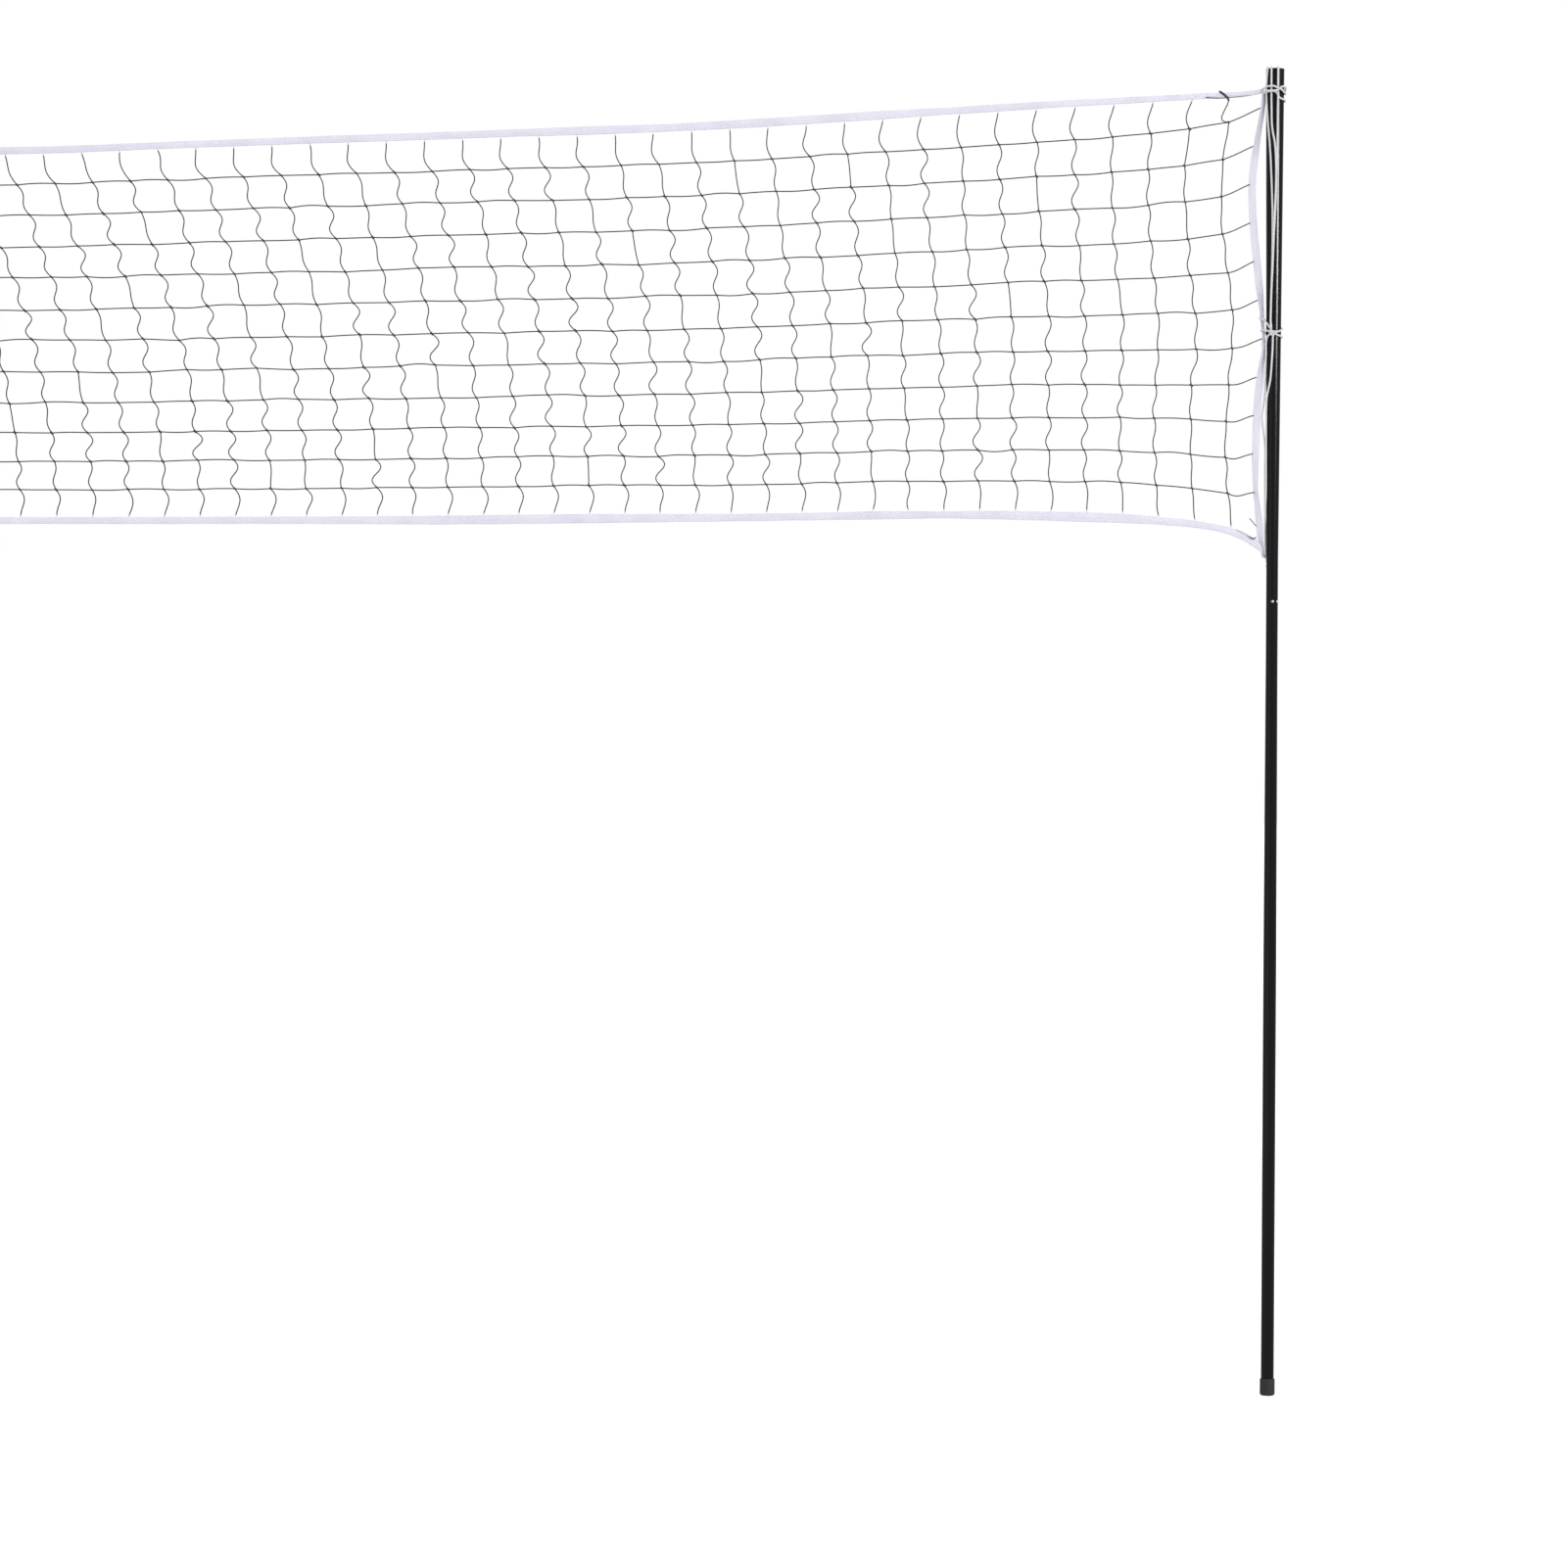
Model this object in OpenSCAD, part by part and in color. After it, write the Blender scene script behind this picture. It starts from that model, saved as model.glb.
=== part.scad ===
// Volleyball net tied between two three-piece tube poles that stand on the ground.
// X runs along the net, Z is up and z = 0 is the ground. The net hangs in the plane y = 0,
// -Y is its front, and the two ends of the net are mirror images.

/* [Netting] */
// Side of one square of the mesh
mesh_pitch = 50.8; // [40:0.1:60]
// Squares along the net
mesh_columns = 108; // [72:1:120]
// Squares from the top tape to the bottom tape
mesh_rows = 12; // [10:1:14]
// Gaps made along the net, each standing for a few squares
gap_columns = 54; // [18:1:60]
// Gaps made from the top tape to the bottom tape
gap_rows = 5; // [3:1:5]
// Thickness of the twine
twine_d = 1.6; // [1:0.1:2.4]
// How far the slack strands lean along the net at mid length
strand_lean = 130; // [0:5:150]

/* [Hang] */
// Height of the pole tops above the top corners of the net
corner_below_top = 29.4; // [20:0.2:60]
// Sag of the top tape at mid length
top_sag = 104; // [40:1:160]
// Sag of the bottom tape at mid length
bottom_sag = 24; // [10:1:60]
// How far the bottom corners are drawn down below the run of the bottom tape
corner_pull = 47; // [20:1:60]
// Length over which the bottom tape curves down to its corner
corner_reach = 72; // [50:1:120]
// From the outermost column of squares to the middle of the pole
edge_to_pole = 16.5; // [14:0.5:24]

/* [Tapes] */
// Width of the top tape along most of its length
top_tape_w = 10.4; // [8:0.1:14]
// Share of its width that the top tape keeps where it is gathered at a pole
gathered_share = 0.62; // [0.55:0.01:1]
// Length over which the top tape is drawn in towards a pole
gather_length = 700; // [200:10:1200]
// Width of the bottom tape
bottom_tape_w = 9; // [7:0.1:12]
// Widest part of the side tapes
side_tape_w = 10; // [7:0.1:12]
// Thickness of one layer of tape
tape_layer = 0.6; // [0.4:0.1:1]
// From the ends of the top and bottom tapes to the middle of the pole
tape_end_gap = 24; // [22:0.5:36]

/* [Cords] */
// Diameter of the white cord
cord_d = 2.5; // [2:0.1:3]
// Turns of the head cord round the pole
top_tie_turns = 2.6; // [1.6:1:3.6]
// Drop of one turn of the top tie
top_tie_pitch = 5; // [4:0.1:6]
// Turns of the middle tie round the pole and the side tape
middle_tie_turns = 2; // [1:1:3]
// Drop of one turn of the middle tie
middle_tie_pitch = 4; // [3.5:0.1:5]
// Height of the middle knot
middle_knot_h = 6.6; // [5:0.1:9]
// Width of the middle knot
middle_knot_w = 9.4; // [8:0.1:12]
// Thickness of the bottom knot
bottom_knot_d = 5.2; // [4:0.1:6]
// Width of the bottom knot
bottom_knot_w = 8; // [6.5:0.1:10]
// Height of the net's bottom corners above the bottom knots
knot_below_corner = 23; // [18:0.5:40]

/* [Poles] */
// Height of a pole
pole_height = 1768; // [1700:1:2100]
// Height of the lower joint
lower_joint_z = 527; // [400:1:600]
// Length of the middle tube
middle_length = 525; // [400:1:560]
// Outside diameter at the foot and at the lower joint
lower_od = 17.6; // [16.5:0.1:19]
// Outside diameter at the upper joint
joint_od = 15.8; // [14.5:0.1:16.5]
// Outside diameter at the top
top_od = 24.6; // [18:0.1:27]
// Thickness of the tube walls
tube_wall = 0.9; // [0.7:0.05:1.2]
// Length of a joint spigot, half of it in each tube
spigot_length = 110; // [80:1:140]
// Wall of a spigot
spigot_wall = 1; // [0.8:0.05:1.5]
// Radial play of a spigot in a tube
spigot_play = 0.05; // [0.03:0.01:0.1]

/* [Rivets] */
// Diameter of a rivet's shank
rivet_d = 3; // [2.4:0.1:3.4]
// Diameter of a rivet's head
rivet_head_d = 3.8; // [3.6:0.1:4.6]
// Height of a rivet's head
rivet_head_h = 0.9; // [0.5:0.1:1.4]
// Height of the rivets above their joint
rivet_rise = 6; // [5:0.5:20]

/* [Foot cap] */
// Outside diameter of the rubber cap
cap_od = 20.2; // [19.8:0.1:26]
// Height of the cap
cap_height = 22.2; // [15:0.1:40]
// Thickness of rubber under the tube
cap_floor = 4; // [2:0.1:8]
// Bevel round the cap's bottom edge
cap_bevel = 2; // [0.5:0.1:2.5]

/* [Hidden] */

// Air between parts that lie against each other
lie_gap = 0.3;
// Air round a rivet's shank
rivet_play = 0.05;
// Air between the cap and the tube in it
cap_play = 0.05;

upper_joint_z = lower_joint_z + middle_length;
hem_half = mesh_columns * mesh_pitch / 2;
pole_x = hem_half + edge_to_pole;
tape_end_x = pole_x - tape_end_gap;
corner_drop = mesh_rows * mesh_pitch;
top_corner_z = pole_height - corner_below_top;
bottom_corner_z = top_corner_z - corner_drop;
bottom_knot_z = bottom_corner_z - knot_below_corner;
// Share of the drop at which the middle tie holds the side tape
middle_tie_share = 0.53;
middle_tie_z = top_corner_z - middle_tie_share * corner_drop;
cord_r = cord_d / 2;
// From a pole's surface to the middle of a cord that lies on it
on_pole = cord_r + lie_gap;
// The same for a cord that crosses over another one
on_cord = on_pole + cord_d + lie_gap;
tape_channel_half = cord_r + lie_gap;
tape_half_t = tape_channel_half + tape_layer;
side_tape_t = 4 * tape_layer;

paint = "#1c1c1f";
steel = "#9a9da2";
rubber = "#151515";
tape_white = "#e4e1f0";
cord_white = "#f1f0ee";
twine_grey = "#3a3a3d";

// ---- Shape of a pole: a straight lower tube, a tapered middle tube and a flared upper tube ----

seat_length = spigot_length / 2 + 5;
pole_profile = [
    [0, lower_od / 2],
    [lower_joint_z + seat_length, lower_od / 2],
    [upper_joint_z - seat_length, joint_od / 2],
    [upper_joint_z + seat_length, joint_od / 2],
    [pole_height, top_od / 2]
];
function pole_r(z) = lookup(z, pole_profile);

// A point by a pole: angle from the front towards the outside, distance from the surface, height
function by_pole(angle, stand, z) = [
    (pole_r(z) + stand) * sin(angle),
    -(pole_r(z) + stand) * cos(angle),
    z
];

// ---- Lines that the net hangs in ----

function top_z(x) = top_corner_z - top_sag * (1 - pow(x / hem_half, 2));
function bottom_z(x) = bottom_corner_z + corner_pull
    - bottom_sag * (1 - pow(x / hem_half, 2))
    - corner_pull * exp(-(hem_half - abs(x)) / corner_reach);

// Half the width of the top tape, drawn in towards the poles
function top_half(x) =
    top_tape_w / 2 * (1 - (1 - gathered_share)
        * max(0, 1 - (hem_half - abs(x)) / gather_length));
bottom_half = bottom_tape_w / 2;

// Places along the tapes, closer together towards the ends where they curve most
tape_steps = 54;
tape_xs = [for (k = [0:tape_steps]) tape_end_x * sin(180 * k / tape_steps - 90)];

// The side tape as share of the drop, distance from the pole's middle, share of its half width
side_route = [
    [0.02, 14.7, 0.42], [0.06, 18.5, 0.68], [0.12, 24.5, 0.84], [0.19, 29.4, 0.9],
    [0.31, 27, 1], [0.4, 21.2, 0.94], [0.485, 15.8, 0.66], [0.53, 12.6, 0.38],
    [0.57, 13.2, 0.44], [0.6, 16.2, 0.64], [0.64, 18.6, 0.86], [0.68, 20.8, 0.94],
    [0.72, 22.1, 1], [0.76, 22.4, 1], [0.83, 23.2, 0.72], [0.87, 22.8, 0.44],
    [0.94, 17.6, 0.84], [0.98, 15.6, 0.84], [1.01, 12.8, 0.52], [1.035, 10.8, 0.22]
];
side_half_w = side_tape_w / 2;
side_z = [for (p = side_route) top_corner_z - p[0] * corner_drop];
// The tape is never nearer the pole than its own half width and the air between them
side_u = [for (k = [0:len(side_route) - 1])
    max(
        side_route[k][1],
        pole_r(side_z[k]) + lie_gap + side_route[k][2] * side_half_w
    )];
// Distance from the pole's middle to the netting's edge, from the bottom up for lookup
netting_edge = [for (k = [len(side_route) - 1:-1:0])
    [side_z[k], side_u[k] + side_route[k][2] * side_half_w + lie_gap]];
function netting_edge_x(z) = pole_x - lookup(z, netting_edge);

// ---- Round cords: rings square to a path, joined by triangles ----

function unit(v) = v / norm(v);
function heading(path, k) =
    k == 0 ? unit(path[1] - path[0])
    : k == len(path) - 1 ? unit(path[k] - path[k - 1])
    : unit(unit(path[k + 1] - path[k]) + unit(path[k] - path[k - 1]));
function square_to(v, line) = unit(v - (v * line) * line);
// The ring's first direction, carried from ring to ring so that the cord doesn't twist
function carried(path, k, first) =
    k == 0 ? square_to(first, heading(path, 0))
    : square_to(carried(path, k - 1, first), heading(path, k));

module cord_along(path, sides, first) {
    count = len(path);
    points = [
        for (k = [0:count - 1])
            let (line = heading(path, k), out = carried(path, k, first), up = cross(line, out))
                for (s = [0:sides - 1])
                    path[k] + cord_r * (cos(360 * s / sides) * out + sin(360 * s / sides) * up)
    ];
    last = (count - 1) * sides;
    faces = concat(
        [for (s = [1:sides - 2]) [0, s, s + 1]],
        [for (k = [0:count - 2]) for (s = [0:sides - 1])
            [k * sides + s, (k + 1) * sides + s, k * sides + (s + 1) % sides]],
        [for (k = [0:count - 2]) for (s = [0:sides - 1])
            [k * sides + (s + 1) % sides, (k + 1) * sides + s, (k + 1) * sides + (s + 1) % sides]],
        [for (s = [1:sides - 2]) [last, last + s + 1, last + s]]
    );
    polyhedron(points, faces, convexity = 6);
}

// Least air between one turn of a winding and the others
function least_gap(path, apart) = min([
    for (i = [0:len(path) - 1]) for (j = [i + apart:1:len(path) - 1])
        norm(path[i] - path[j])
]) - cord_d;

// ---- Winding paths, beside a pole ----

turn_rings = 24;

// Turns round the pole: 0 is the net's side, then front, outside, back
function turn_at(turn, stand, bulge, z) =
    let (angle = 360 * turn, r = pole_r(z) + stand + bulge * pow(max(0, cos(angle)), 4))
        [-r * cos(angle), -r * sin(angle), z];

// The head cord leaves the tape, runs straight for its own thickness and winds down the pole,
// over the two strands that lie under it
top_tie_bend = 2;
top_tie_path = concat(
    [
        [-tape_end_gap + lie_gap, 0, top_corner_z],
        [-tape_end_gap + lie_gap + cord_d, 0, top_corner_z]
    ],
    [for (k = [top_tie_bend:ceil(top_tie_turns * turn_rings)])
        let (turn = min(k / turn_rings, top_tie_turns))
            turn_at(turn, on_cord, 0, top_corner_z - top_tie_pitch * turn)]
);

// The middle tie starts and ends in the knot at the front and goes round the side tape too
side_tape_reach = side_u[7] + side_route[7][2] * side_half_w + lie_gap + cord_r;
middle_tie_bulge = side_tape_reach - pole_r(middle_tie_z) - on_pole + lie_gap;
middle_tie_path = [for (k = [0:middle_tie_turns * turn_rings])
    let (turn = k / turn_rings)
        turn_at(
            turn + 0.25, on_pole, middle_tie_bulge,
            middle_tie_z + middle_tie_pitch * (middle_tie_turns / 2 - turn)
        )];

echo(str("top tie: least gap to itself ", least_gap(top_tie_path, turn_rings / 2), " mm"));
echo(str("middle tie: least gap to itself ", least_gap(middle_tie_path, turn_rings / 2), " mm"));

// ---- Routes of the free cords: angle, distance from the pole, share of the way down ----

strand_top_z = top_corner_z;
// Along the edge of the pole that faces the net
edge_angle = -51;
edge_route = [[-36, 1, 0.14], [-20, 1, 0.27], [-11, 1, 0.5], [-15, 1, 0.7], [-30, 1, 0.99]];
// Down the front, then over the outer strand and between the two others
inner_angle = -17;
inner_route = [
    [-16, 1, 0.14], [5, 1.3, 0.215], [12, 2, 0.26], [7, 2, 0.4], [1, 2, 0.5],
    [-6, 2, 0.7], [-15, 2, 0.985]
];
outer_angle = 18;
outer_route = [[20, 1, 0.14], [22, 1, 0.25], [12, 1, 0.38], [7, 1, 0.5], [-1, 1, 0.7], [-14, 1, 0.986]];
side_leg_route = [
    [-18, 1.8, 0.018], [-58, 1, 0.05], [-66, 1, 0.16], [-90, 2.6, 0.36],
    [-90, 1.1, 0.48], [-92, 1.1, 0.7], [-124, 1.1, 0.86], [-153, 1.4, 0.989]
];
front_leg_route = [
    [0, 1.8, 0.018], [-2, 1, 0.05], [-14, 1.2, 0.2], [-50, 1.2, 0.28],
    [-66, 1, 0.38], [-67, 1, 0.7], [-94, 1.1, 0.86], [-131, 1.6, 0.985]
];

// A route point beside the pole: 1 lies on the pole and 2 lies on another cord
function route_point(p, from_z, to_z) =
    by_pole(p[0], on_pole + (p[1] - 1) * (on_cord - on_pole), from_z - p[2] * (from_z - to_z));

// A strand is caught under the top tie behind the pole, goes over the pole's open end and
// comes down the front to the middle knot
strand_start_z = top_corner_z - top_tie_pitch * top_tie_turns + cord_r;
function strand_path(angle, route) =
    let (
        rim = by_pole(angle, on_pole, pole_height),
        under = by_pole(angle, on_pole, strand_start_z),
        over_z = pole_height + on_pole
    )
        concat(
            [
                [under[0], -under[1], strand_start_z],
                [rim[0], -rim[1], over_z],
                [rim[0], rim[1], over_z],
                [under[0], under[1], strand_start_z]
            ],
            [for (p = route) route_point(p, strand_top_z, middle_tie_z)]
        );

function leg_path(route) = [for (p = route) route_point(p, middle_tie_z, bottom_knot_z)];

// The foot cord leaves the bottom tape, passes behind the side tape and ends in the bottom knot
bottom_knot_angle = -141;
bottom_knot_stand = bottom_knot_d / 2 + lie_gap;
bottom_knot_at = by_pole(bottom_knot_angle, bottom_knot_stand, bottom_knot_z);
behind_tape = side_tape_t / 2 + lie_gap + cord_r;
foot_cord_tail = [
    [-tape_end_gap + 1.2 * cord_d, 0.1 * cord_d, bottom_corner_z + 1.1 * cord_d],
    [-tape_end_gap + 2.4 * cord_d, behind_tape, bottom_corner_z - 0.4 * cord_d],
    [-13.5, behind_tape + 1.4 * cord_d, bottom_corner_z - 4 * cord_d],
    bottom_knot_at + [-1.2 * cord_d, 0.9 * cord_d, 1.05 * cord_d]
];

// ---- The two ends of the net ----

// Beside the right pole +X points away from the net. The left end is the mirror image.
module at_pole(side) {
    mirror([side < 0 ? 1 : 0, 0, 0]) translate([pole_x, 0, 0]) children();
}

// A flat outline in X and Z, given its thickness along Y about y = 0
module standing(thickness) {
    rotate([90, 0, 0]) linear_extrude(thickness, center = true, convexity = 10) children();
}

// ---- Netting ----

// The strand at a share along (0 left, 1 right) and a share down (0 top, 1 bottom)
function lean(along, down) = strand_lean * sin(180 * along) * sin(90 * down);
function netting_top(x) = top_z(x) - top_half(x) - lie_gap;
function netting_bottom(x) = bottom_z(x) + bottom_half + lie_gap;
edge_top_z = netting_top(tape_end_x);
edge_bottom_z = netting_bottom(tape_end_x);
function crossing(along, down) =
    let (
        edge = min(netting_edge_x(edge_top_z + (edge_bottom_z - edge_top_z) * down), tape_end_x),
        x = edge * (2 * along - 1) + lean(along, down)
    )
        [x, netting_top(x) + (netting_bottom(x) - netting_top(x)) * down];

// One gap, half a twine in from each strand's middle and a whole twine in from the edges.
// Gaps by a bottom corner follow the curve of the tape.
curved_gaps = 3;
function inset(k, count) = (k == 0 || k == count) ? twine_d : twine_d / 2;
function gap_outline(i, j) =
    let (
        left = inset(i, gap_columns),
        right = -inset(i + 1, gap_columns),
        top = -inset(j, gap_rows),
        bottom = inset(j + 1, gap_rows),
        curved = j == gap_rows - 1
            && (i < curved_gaps || i >= gap_columns - curved_gaps),
        steps = curved ? 4 : 1,
        low_left = crossing(i / gap_columns, (j + 1) / gap_rows)[0] + left,
        low_right = crossing((i + 1) / gap_columns, (j + 1) / gap_rows)[0] + right
    )
        concat(
            [
                crossing(i / gap_columns, j / gap_rows) + [left, top],
                crossing((i + 1) / gap_columns, j / gap_rows) + [right, top]
            ],
            j == gap_rows - 1
                ? [for (k = [0:steps])
                    let (x = low_right + (low_left - low_right) * k / steps)
                        [x, netting_bottom(x) + bottom]]
                : [
                    crossing((i + 1) / gap_columns, (j + 1) / gap_rows) + [right, bottom],
                    crossing(i / gap_columns, (j + 1) / gap_rows) + [left, bottom]
                ]
        );

inner_xs = [for (x = tape_xs) if (abs(x) < tape_end_x - lie_gap) x];
side_edge = [for (k = [0:len(side_z) - 1])
    if (side_z[k] < edge_top_z - twine_d && side_z[k] > edge_bottom_z + twine_d)
        [min(netting_edge_x(side_z[k]), tape_end_x), side_z[k]]];

module netting() {
    outline = concat(
        [[-tape_end_x, edge_top_z]],
        [for (x = inner_xs) [x, netting_top(x)]],
        [[tape_end_x, edge_top_z]],
        side_edge,
        [[tape_end_x, edge_bottom_z]],
        [for (k = [len(inner_xs) - 1:-1:0]) [inner_xs[k], netting_bottom(inner_xs[k])]],
        [[-tape_end_x, edge_bottom_z]],
        [for (k = [len(side_edge) - 1:-1:0]) [-side_edge[k][0], side_edge[k][1]]]
    );
    gaps = [for (j = [0:gap_rows - 1]) for (i = [0:gap_columns - 1]) gap_outline(i, j)];
    sizes = [for (gap = gaps) len(gap)];
    starts = [
        for (k = 0, at = len(outline); k < len(gaps); at = at + sizes[k], k = k + 1) at
    ];
    color(twine_grey) standing(twine_d)
        polygon(
            points = concat(outline, [for (gap = gaps) each gap]),
            paths = concat(
                [[for (k = [0:len(outline) - 1]) k]],
                [for (k = [0:len(gaps) - 1]) [for (n = [0:sizes[k] - 1]) starts[k] + n]]
            )
        );
}

// ---- Tapes and the cords in them ----

// Both edges of a band that follows a line, half its width above and below
function band(line, half) = concat(
    [for (k = [0:len(line) - 1]) line[k] + [0, half[k]]],
    [for (k = [len(line) - 1:-1:0]) line[k] - [0, half[k]]]
);

top_line = [for (x = tape_xs) [x, top_z(x)]];
bottom_line = [for (x = tape_xs) [x, bottom_z(x)]];

// Folded over its cord and sewn shut below it, so the cord runs in a channel
module tape(line, half) {
    channel = [for (h = half) tape_channel_half];
    long_line = concat(
        [line[0] - [cord_d, 0]],
        [for (k = [1:len(line) - 2]) line[k]],
        [line[len(line) - 1] + [cord_d, 0]]
    );
    color(tape_white) difference() {
        standing(2 * tape_half_t) polygon(band(line, half));
        standing(2 * tape_channel_half) polygon(band(long_line, channel));
    }
}

module top_tape() {
    tape(top_line, [for (x = tape_xs) top_half(x)]);
}

module bottom_tape() {
    tape(bottom_line, [for (x = tape_xs) bottom_half]);
}

module head_cord() {
    color(cord_white)
        cord_along([for (p = top_line) [p[0], 0, p[1]]], 8, [0, 1, 0]);
}

module foot_cord() {
    right_tail = [for (p = foot_cord_tail) p + [pole_x, 0, 0]];
    left_tail = [for (k = [len(right_tail) - 1:-1:0])
        [-right_tail[k][0], right_tail[k][1], right_tail[k][2]]];
    color(cord_white)
        cord_along(concat(left_tail, [for (p = bottom_line) [p[0], 0, p[1]]], right_tail),
            8, [0, 1, 0]);
}

module side_tape(side) {
    line = [for (k = [0:len(side_z) - 1]) [-side_u[k], side_z[k]]];
    half = [for (p = side_route) p[2] * side_half_w];
    outline = concat(
        [for (k = [0:len(line) - 1]) line[k] + [half[k], 0]],
        [for (k = [len(line) - 1:-1:0]) line[k] - [half[k], 0]]
    );
    color(tape_white) at_pole(side) standing(side_tape_t) polygon(outline);
}

// ---- Ties, knots and free cords ----

module top_tie(side) {
    color(cord_white) at_pole(side) cord_along(top_tie_path, 6, [0, 0, 1]);
}

module middle_tie(side) {
    color(cord_white) at_pole(side) cord_along(middle_tie_path, 6, [0, 0, 1]);
}

// A pulled-tight knot: a rounded lump between two ends
module knot(thickness, width) {
    hull() for (end = [-1, 1])
        translate([end * (width - thickness) / 2, 0, 0]) sphere(d = thickness, $fn = 16);
}

middle_knot_angle = -5;
module middle_knot(side) {
    color(cord_white) at_pole(side)
        translate(by_pole(middle_knot_angle, middle_knot_h / 2 + lie_gap, middle_tie_z))
            rotate([0, 0, middle_knot_angle]) knot(middle_knot_h, middle_knot_w);
}

module bottom_knot(side) {
    color(cord_white) at_pole(side) translate(bottom_knot_at)
        rotate([0, 0, bottom_knot_angle]) knot(bottom_knot_d, bottom_knot_w);
}

module edge_strand(side) {
    color(cord_white) at_pole(side)
        cord_along(strand_path(edge_angle, edge_route), 8, [1, 0, 0]);
}

module inner_strand(side) {
    color(cord_white) at_pole(side)
        cord_along(strand_path(inner_angle, inner_route), 8, [1, 0, 0]);
}

module outer_strand(side) {
    color(cord_white) at_pole(side)
        cord_along(strand_path(outer_angle, outer_route), 8, [1, 0, 0]);
}

module front_leg(side) {
    color(cord_white) at_pole(side) cord_along(leg_path(front_leg_route), 8, [1, 0, 0]);
}

module side_leg(side) {
    color(cord_white) at_pole(side) cord_along(leg_path(side_leg_route), 8, [1, 0, 0]);
}

// ---- Poles ----

function tube_outline(profile) = concat(
    [for (p = profile) [p[1], p[0]]],
    [for (k = [len(profile) - 1:-1:0]) [profile[k][1] - tube_wall, profile[k][0]]]
);
module tube(side, profile) {
    at_pole(side) rotate_extrude($fn = 64) polygon(tube_outline(profile));
}

// Holes for a joint's rivets, from the middle of the tube outwards
module rivet_holes(side, joint_z, angles) {
    at_pole(side) for (angle = angles)
        translate([0, 0, joint_z + rivet_rise]) rotate([90, 0, angle])
            cylinder(h = lower_od, d = rivet_d + 2 * rivet_play, $fn = 24);
}

// The upper joint's rivets face the front, the lower joint's face the back
upper_rivet_angles = [-2, 55];
lower_rivet_angles = [152, 209];

module upper_tube(side) {
    color(paint) difference() {
        tube(side, [
            [upper_joint_z, joint_od / 2],
            [upper_joint_z + seat_length, joint_od / 2],
            [pole_height, top_od / 2]
        ]);
        rivet_holes(side, upper_joint_z, upper_rivet_angles);
    }
}

module middle_tube(side) {
    color(paint) difference() {
        tube(side, [
            [lower_joint_z, lower_od / 2],
            [lower_joint_z + seat_length, lower_od / 2],
            [upper_joint_z - seat_length, joint_od / 2],
            [upper_joint_z, joint_od / 2]
        ]);
        rivet_holes(side, lower_joint_z, lower_rivet_angles);
    }
}

module lower_tube(side) {
    color(paint) tube(side, [[cap_floor, lower_od / 2], [lower_joint_z, lower_od / 2]]);
}

// A plain sleeve that fills the tube bores on both sides of a joint
module spigot(side, joint_z, od, angles) {
    r = od / 2 - tube_wall - spigot_play;
    color(steel) difference() {
        at_pole(side) translate([0, 0, joint_z - spigot_length / 2]) difference() {
            cylinder(h = spigot_length, r = r, $fn = 64);
            translate([0, 0, -1]) cylinder(h = spigot_length + 2, r = r - spigot_wall, $fn = 64);
        }
        rivet_holes(side, joint_z, angles);
    }
}

module upper_spigot(side) {
    spigot(side, upper_joint_z, joint_od, upper_rivet_angles);
}

module lower_spigot(side) {
    spigot(side, lower_joint_z, lower_od, lower_rivet_angles);
}

// Blind rivets through the tube and the spigot: a domed head outside, a flat one inside
module rivets(side, joint_z, od, angles) {
    outside = od / 2 + rivet_play;
    bore_r = od / 2 - tube_wall - spigot_play - spigot_wall;
    head_r = rivet_head_d / 2;
    inside = sqrt(pow(bore_r, 2) - pow(head_r, 2)) - rivet_play;
    profile = [
        [0, inside - rivet_head_h], [head_r, inside - rivet_head_h], [head_r, inside],
        [rivet_d / 2, inside], [rivet_d / 2, outside], [head_r, outside],
        [head_r, outside + rivet_head_h * 0.3], [head_r * 0.75, outside + rivet_head_h * 0.75],
        [head_r * 0.35, outside + rivet_head_h], [0, outside + rivet_head_h]
    ];
    color(steel) at_pole(side) for (angle = angles)
        translate([0, 0, joint_z + rivet_rise]) rotate([90, 0, angle])
            rotate_extrude($fn = 24) polygon(profile);
}

module upper_rivets(side) {
    rivets(side, upper_joint_z, joint_od, upper_rivet_angles);
}

module lower_rivets(side) {
    rivets(side, lower_joint_z, lower_od, lower_rivet_angles);
}

module foot_cap(side) {
    bore_r = lower_od / 2 + cap_play;
    lip = (cap_od / 2 - bore_r) / 2;
    color(rubber) at_pole(side) rotate_extrude($fn = 64) polygon([
        [0, 0], [cap_od / 2 - cap_bevel, 0], [cap_od / 2, cap_bevel],
        [cap_od / 2, cap_height - lip], [cap_od / 2 - lip, cap_height],
        [bore_r, cap_height], [bore_r, cap_floor], [0, cap_floor]
    ]);
}

netting();
top_tape();
bottom_tape();
head_cord();
foot_cord();
upper_tube(1);  // right_upper_tube
middle_tube(1);  // right_middle_tube
lower_tube(1);  // right_lower_tube
upper_spigot(1);  // right_upper_spigot
lower_spigot(1);  // right_lower_spigot
upper_rivets(1);  // right_upper_rivets
lower_rivets(1);  // right_lower_rivets
foot_cap(1);  // right_foot_cap
side_tape(1);  // right_side_tape
top_tie(1);  // right_top_tie
middle_tie(1);  // right_middle_tie
middle_knot(1);  // right_middle_knot
bottom_knot(1);  // right_bottom_knot
edge_strand(1);  // right_edge_strand
inner_strand(1);  // right_inner_strand
outer_strand(1);  // right_outer_strand
front_leg(1);  // right_front_leg
side_leg(1);  // right_side_leg
upper_tube(-1);  // left_upper_tube
middle_tube(-1);  // left_middle_tube
lower_tube(-1);  // left_lower_tube
upper_spigot(-1);  // left_upper_spigot
lower_spigot(-1);  // left_lower_spigot
upper_rivets(-1);  // left_upper_rivets
lower_rivets(-1);  // left_lower_rivets
foot_cap(-1);  // left_foot_cap
side_tape(-1);  // left_side_tape
top_tie(-1);  // left_top_tie
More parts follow.
